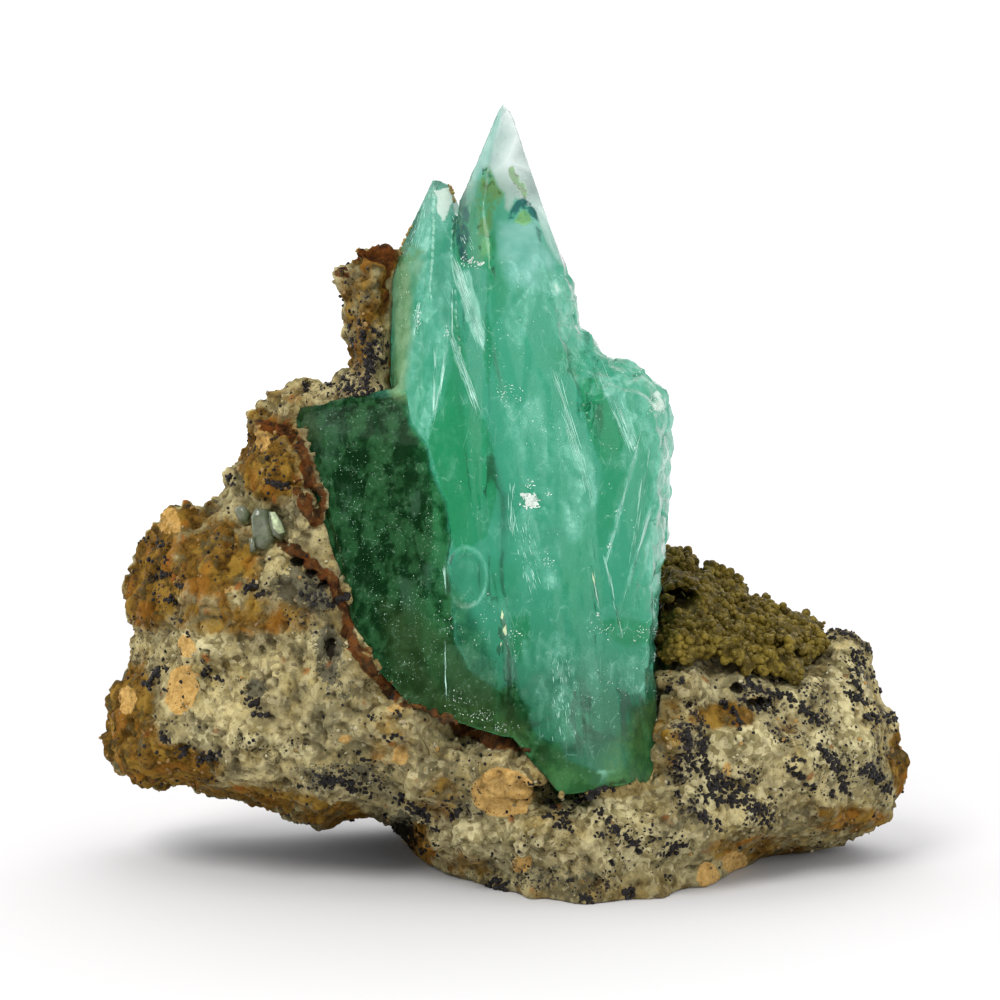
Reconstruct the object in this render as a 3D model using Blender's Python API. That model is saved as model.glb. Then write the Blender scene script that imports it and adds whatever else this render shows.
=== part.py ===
"""Phosphophyllite crystal group on its matrix, a hand-size mineral specimen.

Units are metres, +Z up, the specimen rests on its flat underside at z = 0.
The shapes are drawn on one front elevation: a station is (u, v, y), with u to
the right and v downward in drawing units, and y the depth in millimetres,
negative towards the viewer.  The elevation is a perspective one, so sight()
carries a station to its place in space.
"""
import math

import bmesh
import bpy
import numpy as np
from mathutils import Vector, noise
from mathutils.geometry import delaunay_2d_cdt

# ---------------------------------------------------------------- dimensions
MM = 0.001
FOCAL = 3000.0            # drawing units
CENTRE = 500.0            # principal point of the elevation, both ways
EYE_BACK = 187.5          # mm from the eye to the plane y = 0
EYE_UP = 41.0             # mm from the underside to the eye
EYE_TILT = math.radians(5.2)
GAP = 0.30                # mm kept between pieces that touch
ROCK_STEP = 17.0          # spacing of the rock's surface points, drawing units
ROCK_ROUND = 40.0         # how far in from its outline the rock reaches full depth
CRUST_STEP = 11.0
CRUST_THICK = 3.4         # mm along the line of sight
ROUGH = 0.45              # mm, height of the rock's broken surface
VUG = (266.0, 530.0, -2.6)
VUG_RADII = (1.75, 1.9, 1.55)   # mm


def sight(u, v, y):
    """Place of the station (u, v) of the elevation at depth y, in mm."""
    right = (u - CENTRE) / FOCAL
    down = (v - CENTRE) / FOCAL
    dy = math.cos(EYE_TILT) - down * math.sin(EYE_TILT)
    dz = -math.sin(EYE_TILT) - down * math.cos(EYE_TILT)
    t = (EYE_BACK + y) / dy
    return Vector((right * t, y, EYE_UP + dz * t))


# ------------------------------------------------------------------- outlines
# Column, left lobe, underside, right lobe, shoulder under the crust, and the
# edge of the back wall behind the crystal, once round against the clock.
ROCK_OUTLINE = [
    (381, 244), (368, 247), (356, 246), (356, 256), (342, 263), (330, 273),
    (333, 285), (339, 296), (341, 318), (346, 341), (349, 357), (340, 370),
    (324, 383), (310, 378), (297, 378), (285, 386), (270, 392), (271, 404),
    (247, 411), (246, 428), (243, 446), (234, 465), (223, 473), (224, 491),
    (203, 504), (183, 504), (167, 507), (156, 522), (137, 542), (134, 562),
    (126, 584), (126, 602), (132, 632), (132, 658), (125, 674), (111, 686),
    (105, 706), (103, 732), (106, 757), (115, 775), (140, 788), (160, 790),
    (183, 787), (206, 797), (232, 802), (260, 809), (286, 817), (305, 826),
    (326, 830), (345, 821), (362, 818), (378, 821), (390, 826), (399, 837),
    (411, 853), (420, 872), (434, 902), (468, 934), (530, 956), (615, 962),
    (700, 944), (744, 902), (764, 868), (800, 856), (830, 847), (861, 837),
    (880, 831), (892, 821), (897, 804), (904, 789), (910, 761), (902, 741),
    (894, 717), (880, 693), (876, 668), (870, 642), (856, 636), (842, 630),
    (832, 626), (820, 634), (800, 628), (776, 618), (752, 608), (738, 597),
    (718, 590), (700, 584), (688, 574), (676, 564), (666, 566), (661, 582),
    (658, 612), (656, 652), (650, 690), (641, 716), (632, 744), (615, 763),
    (590, 763), (562, 752), (537, 736), (521, 708), (503, 694), (478, 697),
    (452, 690), (445, 660), (445, 620), (448, 580), (449, 545), (446, 518),
    (440, 493), (429, 468), (424, 446), (411, 421), (402, 398), (396, 374),
    (398, 350), (400, 331), (397, 312), (396, 286), (396, 262)]

# Depths of the rock's front and back, mm, at stations over its face.
ROCK_DEPTHS = [
    # column
    (372, 262, 0.4, 6.5), (365, 300, -0.4, 7.0), (372, 350, -0.6, 8.0),
    (370, 385, -0.4, 9.0), (335, 392, 0.2, 9.5), (300, 392, 0.6, 9.0),
    # left wall and left lobe
    (262, 425, 0.6, 9.5), (285, 470, -1.8, 11.0), (250, 480, -0.8, 10.5),
    (235, 500, 0.2, 10.5), (305, 510, -3.2, 12.5), (190, 530, 1.0, 11.0),
    (150, 560, 2.4, 10.5), (215, 580, -2.4, 13.0), (270, 600, -4.0, 14.5),
    (320, 600, -4.8, 15.0), (150, 640, 0.8, 11.5), (210, 660, -3.8, 14.0),
    (130, 710, 1.4, 11.0), (180, 730, -2.4, 12.5), (250, 740, -4.8, 15.0),
    (330, 700, -5.9, 16.0), (330, 770, -4.8, 15.5), (290, 800, -3.0, 14.0),
    (365, 650, -5.8, 16.0), (400, 720, -6.9, 16.5), (385, 805, -2.6, 16.0),
    # front of the base
    (430, 780, -6.5, 17.0), (425, 840, -3.4, 17.0), (446, 877, -0.4, 17.0),
    (470, 840, -6.0, 17.0), (470, 881, -1.6, 17.0), (500, 760, -8.0, 17.0),
    (496, 891, -4.5, 17.0), (537, 900, -7.0, 17.0), (540, 840, -8.6, 17.5),
    (590, 904, -8.1, 17.5), (600, 830, -8.9, 17.5), (651, 899, -6.7, 17.0),
    (660, 820, -7.8, 17.0), (702, 888, -3.6, 17.0), (700, 830, -6.2, 16.5),
    (743, 874, 0.4, 16.0), (740, 820, -4.2, 15.5), (764, 862, 2.6, 15.0),
    (600, 945, -8.0, 17.5), (480, 910, -2.0, 17.0), (720, 915, -1.5, 16.5),
    # right lobe
    (680, 740, -6.5, 16.0), (680, 690, -4.5, 15.5), (740, 740, -4.7, 15.0),
    (740, 695, -2.8, 14.5), (800, 760, -3.2, 13.5), (800, 700, -1.4, 13.5),
    (860, 760, -0.6, 11.5), (860, 690, 1.4, 11.5), (850, 650, 3.4, 10.5),
    (890, 760, 2.4, 9.5), (820, 820, -0.6, 13.0), (870, 810, 1.5, 10.5),
    # shoulder under the crust
    (670, 660, -1.2, 15.0), (720, 650, 1.8, 14.5), (780, 655, 3.0, 13.5),
    (670, 605, 4.0, 14.5), (720, 612, 5.8, 14.0), (770, 632, 5.6, 13.0),
    (672, 575, 6.8, 13.5), (740, 600, 8.2, 13.0), (805, 640, 6.0, 12.0),
    # wall and ledge behind the crystal
    (350, 440, 0.8, 11.5), (400, 440, 3.0, 11.0), (345, 520, -1.0, 13.0),
    (420, 520, 3.0, 12.5), (365, 600, -2.0, 14.5), (420, 600, 2.5, 14.0),
    (420, 680, -1.0, 15.5), (500, 705, 3.0, 15.0), (560, 768, -1.0, 16.0),
    (620, 775, -2.0, 16.0), (640, 725, 1.0, 15.5)]

CRUST_OUTLINE = [
    (650, 562), (662, 549), (676, 550), (690, 554), (696, 567), (713, 568),
    (731, 575), (748, 584), (751, 596), (780, 606), (800, 616), (820, 625),
    (828, 633), (827, 655), (815, 668), (803, 680), (790, 687), (770, 684),
    (752, 680), (736, 672), (714, 668), (692, 664), (680, 672), (668, 676),
    (650, 664), (646, 640), (646, 585)]

# ------------------------------------------------------------------- crystals
# Each block of the group is the convex body of its corner stations.
SPEAR = [
    (502, 106, 0.2), (511, 115, 1.0), (484, 144, 0.5), (459, 200, 1.1),
    (522, 143, 1.2), (561, 260, 2.2), (493, 150, -0.8), (490, 273, -3.2),
    (450, 290, 0.9), (532, 262, -2.0), (500, 160, 2.5), (470, 262, 4.2),
    (545, 262, 4.4), (440, 430, -1.2), (482, 430, -4.5), (585, 430, -3.9),
    (598, 430, 1.0), (450, 430, 4.8), (590, 430, 5.2), (486, 700, -6.9),
    (600, 735, -7.0), (480, 712, 5.4), (610, 735, 5.8)]
LEFT_LATH = [
    (433, 178, 2.8), (450, 184, 2.6), (441, 184, 4.6), (421, 205, 2.8),
    (410, 229, 2.4), (398, 252, 2.4), (390, 276, 3.0), (389, 338, 3.0),
    (388, 380, 2.4), (404, 344, 0.0), (399, 388, -0.6), (430, 292, -1.0),
    (452, 330, -1.5), (480, 420, -3.4), (426, 450, -2.9), (440, 250, 5.6),
    (412, 300, 6.0), (398, 396, 5.8), (470, 420, 6.0), (460, 206, 3.4),
    (474, 262, 4.6), (440, 560, -4.5), (496, 560, -5.3), (440, 560, 5.4),
    (500, 560, 5.6)]
SHOULDER_HIGH = [
    (543, 214, 1.8), (561, 260, 0.6), (573, 278, 0.8), (577, 297, 0.8),
    (579, 322, 1.0), (560, 262, 3.6), (575, 300, 4.4), (552, 300, -2.4),
    (584, 430, -2.8), (590, 430, 4.8), (540, 430, -3.2), (540, 430, 4.4),
    (530, 262, 3.0)]
SHOULDER_MID = [
    (572, 320, 1.0), (592, 332, 0.5), (602, 353, 0.6), (586, 335, 3.8),
    (600, 356, 4.4), (607, 440, 0.4), (606, 440, 4.8), (576, 392, -3.0),
    (600, 440, -3.5), (560, 440, -3.4), (560, 440, 4.6)]
RIGHT_BLOCK = [
    (599, 352, 0.4), (621, 358, 0.2), (648, 372, -0.2), (668, 390, 0.4),
    (672, 400, 0.8), (673, 448, 1.2), (671, 495, 0.8), (664, 546, 0.2),
    (655, 602, -0.6), (625, 388, -3.1), (655, 404, -2.2), (660, 452, -2.9),
    (636, 560, -4.9), (649, 612, -3.9), (590, 404, -3.6), (588, 710, -6.4),
    (646, 700, -4.6), (615, 362, 4.6), (660, 392, 4.2), (664, 450, 4.8),
    (655, 560, 5.4), (600, 404, 5.0), (600, 710, 5.8), (646, 700, 5.4)]
WALL_BLOCK = [
    (299, 407, 0.6), (292, 426, 0.2), (297, 443, -0.3), (356, 401, 0.0),
    (380, 393, -0.3), (410, 384, -0.5), (320, 428, -1.3), (402, 424, -1.9),
    (324, 506, -2.5), (345, 585, -4.0), (353, 628, -4.5), (379, 669, -5.3),
    (411, 707, -6.2), (478, 730, -7.2), (506, 738, -7.6), (470, 452, -3.5),
    (492, 560, -5.6), (508, 670, -6.9), (312, 420, 4.6), (340, 540, 5.2), (382, 660, 5.8),
    (420, 698, 6.0), (500, 726, 6.0), (470, 402, 5.2), (500, 500, 5.6)]
FOOT_BLOCK = [
    (478, 610, -4.6), (513, 739, -7.7), (531, 759, -8.0), (562, 797, -8.5),
    (596, 789, -8.3), (629, 783, -7.4), (651, 783, -5.6), (658, 742, -4.1),
    (656, 702, -3.3), (652, 606, -2.2), (600, 590, -4.6), (566, 716, -7.9),
    (513, 728, 5.0), (562, 744, 5.2), (600, 750, 5.6), (650, 738, 5.2),
    (656, 702, 5.0), (652, 606, 5.0), (480, 600, 5.6)]
CRYSTAL_BLOCKS = [SPEAR, LEFT_LATH, SHOULDER_HIGH, SHOULDER_MID, RIGHT_BLOCK,
                  WALL_BLOCK, FOOT_BLOCK]

VUG_LEFT = [
    (254, 524, -2.9), (262, 516, -2.6), (269, 519, -3.0), (270, 541, -3.1),
    (262, 548, -2.7), (254, 541, -2.6), (256, 524, -1.5), (266, 520, -1.5),
    (266, 543, -1.5), (256, 541, -1.5)]
VUG_RIGHT = [
    (276, 512, -3.2), (283, 516, -2.9), (284, 529, -3.0), (279, 535, -3.1),
    (276, 531, -3.4), (277, 514, -1.7), (283, 518, -1.7), (282, 530, -1.7),
    (278, 531, -1.7)]


# ------------------------------------------------------------------ utilities
def material(name, colour, rough, metallic=0.0):
    mat = bpy.data.materials.new(name)
    mat.use_nodes = True
    shader = mat.node_tree.nodes["Principled BSDF"]
    shader.inputs["Base Color"].default_value = (*colour, 1.0)
    shader.inputs["Roughness"].default_value = rough
    shader.inputs["Metallic"].default_value = metallic
    mat.diffuse_color = (*colour, 1.0)
    return mat


def place(name, bm, mat=None):
    """Closed bmesh, in mm, to a named object in metres."""
    bmesh.ops.triangulate(bm, faces=bm.faces[:])
    bmesh.ops.recalc_face_normals(bm, faces=bm.faces[:])
    bmesh.ops.scale(bm, vec=(MM, MM, MM), verts=bm.verts[:])
    mesh = bpy.data.meshes.new(name)
    bm.to_mesh(mesh)
    bm.free()
    obj = bpy.data.objects.new(name, mesh)
    bpy.context.scene.collection.objects.link(obj)
    if mat:
        mesh.materials.append(mat)
    return obj


def hull(stations, forward=0.0):
    """Convex body of the stations; forward adds copies nearer the viewer."""
    bm = bmesh.new()
    for u, v, y in stations:
        bm.verts.new(sight(u, v, y))
        if forward and y < 2.0:
            bm.verts.new(sight(u, v, y - forward))
    res = bmesh.ops.convex_hull(bm, input=bm.verts[:])
    unused = [g for g in res["geom_interior"] + res["geom_unused"]
              if isinstance(g, bmesh.types.BMVert)]
    bmesh.ops.delete(bm, geom=list(set(unused)), context="VERTS")
    bmesh.ops.dissolve_limit(bm, angle_limit=math.radians(1.0),
                             verts=bm.verts[:], edges=bm.edges[:])
    bmesh.ops.triangulate(bm, faces=bm.faces[:])
    bmesh.ops.recalc_face_normals(bm, faces=bm.faces[:])
    return bm


def swell(bm, amount):
    """Move a closed surface outward by amount, in mm."""
    bm.normal_update()
    moves = [(v, v.normal * (amount * min(v.calc_shell_factor(), 2.5)))
             for v in bm.verts]
    for v, m in moves:
        v.co += m
    return bm


def boolean(obj, cutter, operation):
    """Apply one Boolean to obj's mesh; the cutter is used up."""
    mod = obj.modifiers.new("cut", "BOOLEAN")
    mod.operation = operation
    mod.solver = "EXACT"
    mod.object = cutter
    graph = bpy.context.evaluated_depsgraph_get()
    mesh = bpy.data.meshes.new_from_object(obj.evaluated_get(graph))
    obj.modifiers.clear()
    old = obj.data
    obj.data = mesh
    bpy.data.meshes.remove(old)
    bpy.data.objects.remove(cutter)
    mesh.name = obj.name


def tidy(obj, distance=0.00002):
    """Weld slivers, keep the largest closed shell."""
    bm = bmesh.new()
    bm.from_mesh(obj.data)
    bmesh.ops.remove_doubles(bm, verts=bm.verts[:], dist=distance)
    bmesh.ops.dissolve_degenerate(bm, edges=bm.edges[:], dist=distance)
    bmesh.ops.triangulate(bm, faces=bm.faces[:])
    seen, shells = set(), []
    for start in bm.faces:
        if start.index in seen:
            continue
        seen.add(start.index)
        stack, shell = [start], []
        while stack:
            face = stack.pop()
            shell.append(face)
            for edge in face.edges:
                for other in edge.link_faces:
                    if other.index not in seen:
                        seen.add(other.index)
                        stack.append(other)
        shells.append(shell)
    shells.sort(key=len)
    for shell in shells[:-1]:
        bmesh.ops.delete(bm, geom=shell, context="FACES")
        bm.faces.ensure_lookup_table()
    loose = [v for v in bm.verts if not v.link_faces]
    bmesh.ops.delete(bm, geom=loose, context="VERTS")
    bmesh.ops.recalc_face_normals(bm, faces=bm.faces[:])
    bm.to_mesh(obj.data)
    bm.free()


def edge_distance(points, outline):
    """Distance of each point from the outline, positive inside it."""
    a = np.array(outline, float)
    b = np.roll(a, -1, axis=0)
    p = np.atleast_2d(np.array(points, float))
    best = np.full(len(p), 1e9)
    inside = np.zeros(len(p), bool)
    for (ax, ay), (bx, by) in zip(a, b):
        ex, ey = bx - ax, by - ay
        t = ((p[:, 0] - ax) * ex + (p[:, 1] - ay) * ey) / (ex * ex + ey * ey)
        t = np.clip(t, 0.0, 1.0)
        best = np.minimum(best, np.hypot(p[:, 0] - ax - t * ex,
                                         p[:, 1] - ay - t * ey))
        cross = (ay > p[:, 1]) != (by > p[:, 1])
        with np.errstate(divide="ignore", invalid="ignore"):
            at = ax + (p[:, 1] - ay) * ex / (ey if ey else 1e-9)
        inside ^= cross & (p[:, 0] < at)
    return np.where(inside, best, -best)


def net(outline, step):
    """Triangles over an outline: points, corner count of the edge, faces."""
    rim = []
    for (ax, ay), (bx, by) in zip(outline, outline[1:] + outline[:1]):
        n = max(1, round(math.hypot(bx - ax, by - ay) / step))
        rim += [(ax + (bx - ax) * i / n, ay + (by - ay) * i / n)
                for i in range(n)]
    us = [p[0] for p in outline]
    vs = [p[1] for p in outline]
    inner = []
    row, v = 0, min(vs) + 0.4 * step
    while v < max(vs):
        u = min(us) + (0.5 * step if row % 2 else 0.0)
        while u < max(us):
            jog = noise.noise_vector(Vector((u, v, 3.0)) * 0.05)
            inner.append((u + 0.22 * step * jog.x, v + 0.22 * step * jog.y))
            u += step
        v += 0.866 * step
        row += 1
    keep = edge_distance(inner, outline) > 0.55 * step
    inner = [p for p, k in zip(inner, keep) if k]
    for _ in range(8):
        pts = [Vector(p) for p in rim + inner]
        edges = [(i, (i + 1) % len(rim)) for i in range(len(rim))]
        co, _e, faces, _o, _oe, _of = delaunay_2d_cdt(pts, edges, [], 1, 1e-4)
        chords = set()
        for face in faces:
            for i, j in zip(face, list(face[1:]) + [face[0]]):
                if i < len(rim) and j < len(rim) \
                        and (i - j) % len(rim) not in (1, len(rim) - 1):
                    chords.add((min(i, j), max(i, j)))
        if not chords:
            break
        inner += [tuple((co[i] + co[j]) / 2) for i, j in sorted(chords)]
    return [tuple(c) for c in co], len(rim), [tuple(f) for f in faces]


def relief(outline, step, front, back):
    """Closed solid whose front and back sheets meet along the outline."""
    points, rim, faces = net(outline, step)
    dist = edge_distance(points, outline)
    dist[:rim] = 0.0
    bm = bmesh.new()
    fore, aft = [], []
    for i, ((u, v), d) in enumerate(zip(points, dist)):
        fore.append(bm.verts.new(sight(u, v, front(u, v, d))))
        aft.append(fore[-1] if i < rim
                   else bm.verts.new(sight(u, v, back(u, v, d))))
    for face in faces:
        bm.faces.new([fore[i] for i in face])
        bm.faces.new([aft[i] for i in reversed(face)])
    bmesh.ops.recalc_face_normals(bm, faces=bm.faces[:])
    return bm


# -------------------------------------------------------------- rock surfaces
DEPTHS = np.array(ROCK_DEPTHS, float)


def rock_depths(u, v):
    w = 1.0 / (((DEPTHS[:, 0] - u) ** 2 + (DEPTHS[:, 1] - v) ** 2) + 60.0) ** 1.7
    w /= w.sum()
    return float(w @ DEPTHS[:, 2]), float(w @ DEPTHS[:, 3])


def rough(u, v, seed):
    at = Vector((u, v, seed)) / 46.0
    return ROUGH * (noise.noise(at) + 0.6 * noise.noise(at * 2.3))


def bulge(d, reach):
    k = min(max(d / reach, 0.0), 1.0)
    return math.sqrt(1.0 - (1.0 - k) ** 2)


def rock_front(u, v, d):
    near, far = rock_depths(u, v)
    mid = 0.5 * (near + far)
    k = bulge(d, ROCK_ROUND)
    return mid + (near - mid) * k + k * rough(u, v, 10.0)


def rock_back(u, v, d):
    near, far = rock_depths(u, v)
    mid = 0.5 * (near + far)
    k = bulge(d, ROCK_ROUND)
    return mid + (far - mid) * k + 1.6 * k * rough(u, v, 90.0)


def crust_back(u, v, d):
    inside = float(edge_distance([(u, v)], ROCK_OUTLINE)[0])
    return rock_front(u, v, max(inside, 0.0)) + 1.6 * bulge(d, 14.0)


def crust_front(u, v, d):
    inside = float(edge_distance([(u, v)], ROCK_OUTLINE)[0])
    knobs = noise.voronoi(Vector((u, v, 5.0)) / 24.0)[0][0]
    lift = CRUST_THICK * bulge(d, 26.0) * (1.08 - 0.35 * knobs)
    return rock_front(u, v, max(inside, 0.0)) - lift


# ---------------------------------------------------------------------- build
def main():
    for obj in list(bpy.data.objects):
        bpy.data.objects.remove(obj, do_unlink=True)

    stone = material("altered_stone", (0.46, 0.39, 0.25), 0.9)
    gem = material("blue_green_crystal", (0.08, 0.52, 0.36), 0.12)
    crust = material("brown_drusy_crust", (0.19, 0.13, 0.04), 0.45)
    grey_gem = material("grey_green_crystal", (0.32, 0.38, 0.27), 0.15)

    # Crystal group: its blocks joined in one solid.
    crystal = place("phosphophyllite_crystal", hull(CRYSTAL_BLOCKS[0]), gem)
    for block in CRYSTAL_BLOCKS[1:]:
        boolean(crystal, place("block", hull(block)), "UNION")
    tidy(crystal)

    # Rock: front and back sheets, a seat for each crystal block, the vug and
    # the flat underside.
    matrix = place("matrix", relief(ROCK_OUTLINE, ROCK_STEP, rock_front,
                                    rock_back), stone)
    skin = matrix.data.copy()
    for block in CRYSTAL_BLOCKS:
        boolean(matrix, place("seat", swell(hull(block, 12.0), GAP + 0.02)),
                "DIFFERENCE")
    bm = bmesh.new()
    bmesh.ops.create_icosphere(bm, subdivisions=3, radius=1.0)
    bmesh.ops.scale(bm, vec=VUG_RADII, verts=bm.verts[:])
    bmesh.ops.translate(bm, vec=sight(*VUG), verts=bm.verts[:])
    boolean(matrix, place("vug", bm), "DIFFERENCE")
    bm = bmesh.new()
    bmesh.ops.create_cube(bm, size=1.0)
    bmesh.ops.scale(bm, vec=(120.0, 120.0, 40.0), verts=bm.verts[:])
    bmesh.ops.translate(bm, vec=(0.0, 0.0, -20.0), verts=bm.verts[:])
    boolean(matrix, place("underside", bm), "DIFFERENCE")
    tidy(matrix)

    # Crust: a knobbly sheet, less the rock's own surface and the crystal.
    druse = place("drusy_crust", relief(CRUST_OUTLINE, CRUST_STEP, crust_front,
                                        crust_back), crust)
    bm = bmesh.new()
    bm.from_mesh(skin)
    bmesh.ops.scale(bm, vec=(1 / MM, 1 / MM, 1 / MM), verts=bm.verts[:])
    boolean(druse, place("rock_skin", swell(bm, GAP + 0.04)), "DIFFERENCE")
    for block in (RIGHT_BLOCK, FOOT_BLOCK):
        boolean(druse, place("seat", swell(hull(block), GAP + 0.02)),
                "DIFFERENCE")
    tidy(druse)

    # The two small crystals in the vug.
    left = place("vug_crystal_left", hull(VUG_LEFT), grey_gem)
    right = place("vug_crystal_right", hull(VUG_RIGHT), grey_gem)

    # Origin at the middle of the underside of the whole specimen.
    pieces = [matrix, crystal, druse, left, right]
    corners = np.array([v.co[:] for p in pieces for v in p.data.vertices])
    low, high = corners.min(axis=0), corners.max(axis=0)
    shift = Vector((-(low[0] + high[0]) / 2, -(low[1] + high[1]) / 2, 0.0))
    for piece in pieces:
        for vert in piece.data.vertices:
            vert.co += shift
    for piece in (matrix, druse):
        piece.data.shade_smooth()
    for piece in (crystal, left, right):
        piece.data.shade_flat()


main()
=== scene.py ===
"""Looks of the phosphophyllite specimen: granular stone, drusy crust, veiled crystal."""
import math

import bmesh
import bpy
import numpy as np
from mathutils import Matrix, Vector
from mathutils.bvhtree import BVHTree


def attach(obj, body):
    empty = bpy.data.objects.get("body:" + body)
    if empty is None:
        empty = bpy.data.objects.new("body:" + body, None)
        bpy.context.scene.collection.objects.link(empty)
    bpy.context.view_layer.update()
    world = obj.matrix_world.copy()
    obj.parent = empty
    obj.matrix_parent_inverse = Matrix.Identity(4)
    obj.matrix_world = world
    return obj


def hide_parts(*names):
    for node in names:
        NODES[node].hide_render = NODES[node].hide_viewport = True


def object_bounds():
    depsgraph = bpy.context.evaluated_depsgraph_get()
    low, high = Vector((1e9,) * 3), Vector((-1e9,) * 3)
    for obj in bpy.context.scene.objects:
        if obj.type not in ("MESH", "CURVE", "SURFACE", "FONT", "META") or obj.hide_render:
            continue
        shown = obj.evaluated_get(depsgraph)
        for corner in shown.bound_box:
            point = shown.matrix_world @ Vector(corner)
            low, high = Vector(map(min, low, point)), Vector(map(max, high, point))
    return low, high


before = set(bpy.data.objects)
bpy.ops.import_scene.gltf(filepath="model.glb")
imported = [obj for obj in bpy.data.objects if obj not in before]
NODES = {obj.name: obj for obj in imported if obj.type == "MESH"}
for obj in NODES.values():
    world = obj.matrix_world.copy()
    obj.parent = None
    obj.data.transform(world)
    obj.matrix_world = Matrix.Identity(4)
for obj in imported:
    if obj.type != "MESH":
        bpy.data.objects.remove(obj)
CAD_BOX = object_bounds()

# ------------------------------------------------------- the front elevation
# Same perspective elevation as the solids: u right, v down, y depth in mm.
FOCAL, CENTRE, EYE_BACK, EYE_UP = 3000.0, 500.0, 187.5, 41.0
TILT = math.radians(5.2)


def sight_raw(u, v, y):
    right = (u - CENTRE) / FOCAL
    down = (v - CENTRE) / FOCAL
    dy = math.cos(TILT) - down * math.sin(TILT)
    dz = -math.sin(TILT) - down * math.cos(TILT)
    t = (EYE_BACK + y) / dy
    return Vector((right * t, y, EYE_UP + dz * t))


_top = max(NODES["phosphophyllite_crystal"].data.vertices, key=lambda w: w.co.z).co * 1000.0
SHIFT = _top - sight_raw(502, 106, 0.2)
SHIFT.z = 0.0
EYE = Vector((0.0, -EYE_BACK, EYE_UP)) + SHIFT


def sight(u, v, y):
    return sight_raw(u, v, y) + SHIFT


def elevation(co):
    """(u, v) of points in mm, one row each."""
    d = co - np.array(EYE[:])
    fwd = d[:, 1] * math.cos(TILT) - d[:, 2] * math.sin(TILT)
    up = d[:, 1] * math.sin(TILT) + d[:, 2] * math.cos(TILT)
    return CENTRE + FOCAL * d[:, 0] / fwd, CENTRE - FOCAL * up / fwd


# ----------------------------------------------------------------- the noise
def _hash(ix, iy, iz, seed):
    n = (ix.astype(np.int64) * 374761393 + iy.astype(np.int64) * 668265263
         + iz.astype(np.int64) * 1442695041 + seed * 974711) & 0xFFFFFFFF
    n = ((n ^ (n >> 13)) * 1274126177) & 0xFFFFFFFF
    n = ((n ^ (n >> 15)) * 2246822519) & 0xFFFFFFFF
    return ((n ^ (n >> 16)) & 0xFFFFFF) / float(0xFFFFFF)


def perlin(p, seed=0):
    """Gradient noise, about -1 to 1, of points p (N, 3)."""
    f = np.floor(p)
    r = p - f
    i = f.astype(np.int64)
    w = r * r * r * (r * (r * 6 - 15) + 10)
    out = np.zeros(len(p))
    for dx in (0, 1):
        for dy in (0, 1):
            for dz in (0, 1):
                a = (i[:, 0] + dx, i[:, 1] + dy, i[:, 2] + dz)
                dot = sum((_hash(*a, seed * 3 + k + 1) * 2 - 1)
                          * (r[:, k] - (dx, dy, dz)[k]) for k in range(3))
                wt = (np.where(dx, w[:, 0], 1 - w[:, 0]) * np.where(dy, w[:, 1], 1 - w[:, 1])
                      * np.where(dz, w[:, 2], 1 - w[:, 2]))
                out += dot * wt
    return out * 1.35


def fbm(p, octaves=4, seed=0, gain=0.5):
    out, amp = np.zeros(len(p)), 1.0
    for k in range(octaves):
        out += amp * perlin(p * (2.03 ** k) + 7.3 * k, seed + k)
        amp *= gain
    return out


def worley(p, seed=0):
    """Distances to the nearest and second feature points, and the cell's own number."""
    f = np.floor(p).astype(np.int64)
    d1 = np.full(len(p), 9.0)
    d2 = np.full(len(p), 9.0)
    cell = np.zeros(len(p))
    for dx in (-1, 0, 1):
        for dy in (-1, 0, 1):
            for dz in (-1, 0, 1):
                a = (f[:, 0] + dx, f[:, 1] + dy, f[:, 2] + dz)
                q = np.stack([a[k] + _hash(*a, seed * 5 + k + 11) for k in range(3)], 1)
                d = np.sqrt(((q - p) ** 2).sum(1))
                near = d < d1
                d2 = np.where(near, d1, np.minimum(d2, d))
                cell = np.where(near, _hash(*a, seed * 5 + 17), cell)
                d1 = np.where(near, d, d1)
    return d1, d2, cell


def smooth(a, b, x):
    t = np.clip((x - a) / (b - a), 0.0, 1.0)
    return t * t * (3 - 2 * t)


def zone(u, v, outline, edge=5.0):
    """1 inside an outline of (u, v) stations, 0 outside, soft over the edge."""
    pts = np.array(outline, float)
    inside = np.zeros(len(u), bool)
    best = np.full(len(u), 1e9)
    for (x0, y0), (x1, y1) in zip(pts, np.roll(pts, -1, 0)):
        dx, dy = x1 - x0, y1 - y0
        t = np.clip(((u - x0) * dx + (v - y0) * dy) / (dx * dx + dy * dy + 1e-9), 0, 1)
        best = np.minimum(best, np.hypot(u - x0 - t * dx, v - y0 - t * dy))
        cross = (y0 > v) != (y1 > v)
        inside ^= cross & (u < dx * (v - y0) / (dy if dy else 1e-9) + x0)
    return smooth(-edge, edge, np.where(inside, best, -best))


def line_gap(u, v, path):
    """Distance in px from a run of (u, v) stations."""
    best = np.full(len(u), 1e9)
    for (x0, y0), (x1, y1) in zip(path, path[1:]):
        dx, dy = x1 - x0, y1 - y0
        t = np.clip(((u - x0) * dx + (v - y0) * dy) / (dx * dx + dy * dy), 0, 1)
        best = np.minimum(best, np.hypot(u - x0 - t * dx, v - y0 - t * dy))
    return best


def zones(u, v, table):
    out = np.zeros(len(u))
    for outline, edge, strength in table:
        out = np.maximum(out, strength * zone(u, v, outline, edge))
    return out


# --------------------------------------------------------------- mesh helpers
def mesh_of(name, co, faces, smooth_shade=True):
    me = bpy.data.meshes.new(name)
    me.from_pydata([tuple(c) for c in co], [], faces)
    me.update()
    if smooth_shade:
        me.shade_smooth()
    return me


def add(name, me, material, replaces=(), scale=True):
    """Mesh in mm to a piece in metres that rides on the body."""
    if scale:
        me.transform(Matrix_mm)
    obj = bpy.data.objects.new(name, me)
    bpy.context.scene.collection.objects.link(obj)
    me.materials.clear()
    me.materials.append(material)
    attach(obj, "root")
    if replaces:
        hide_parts(*replaces)
    return obj


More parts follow.
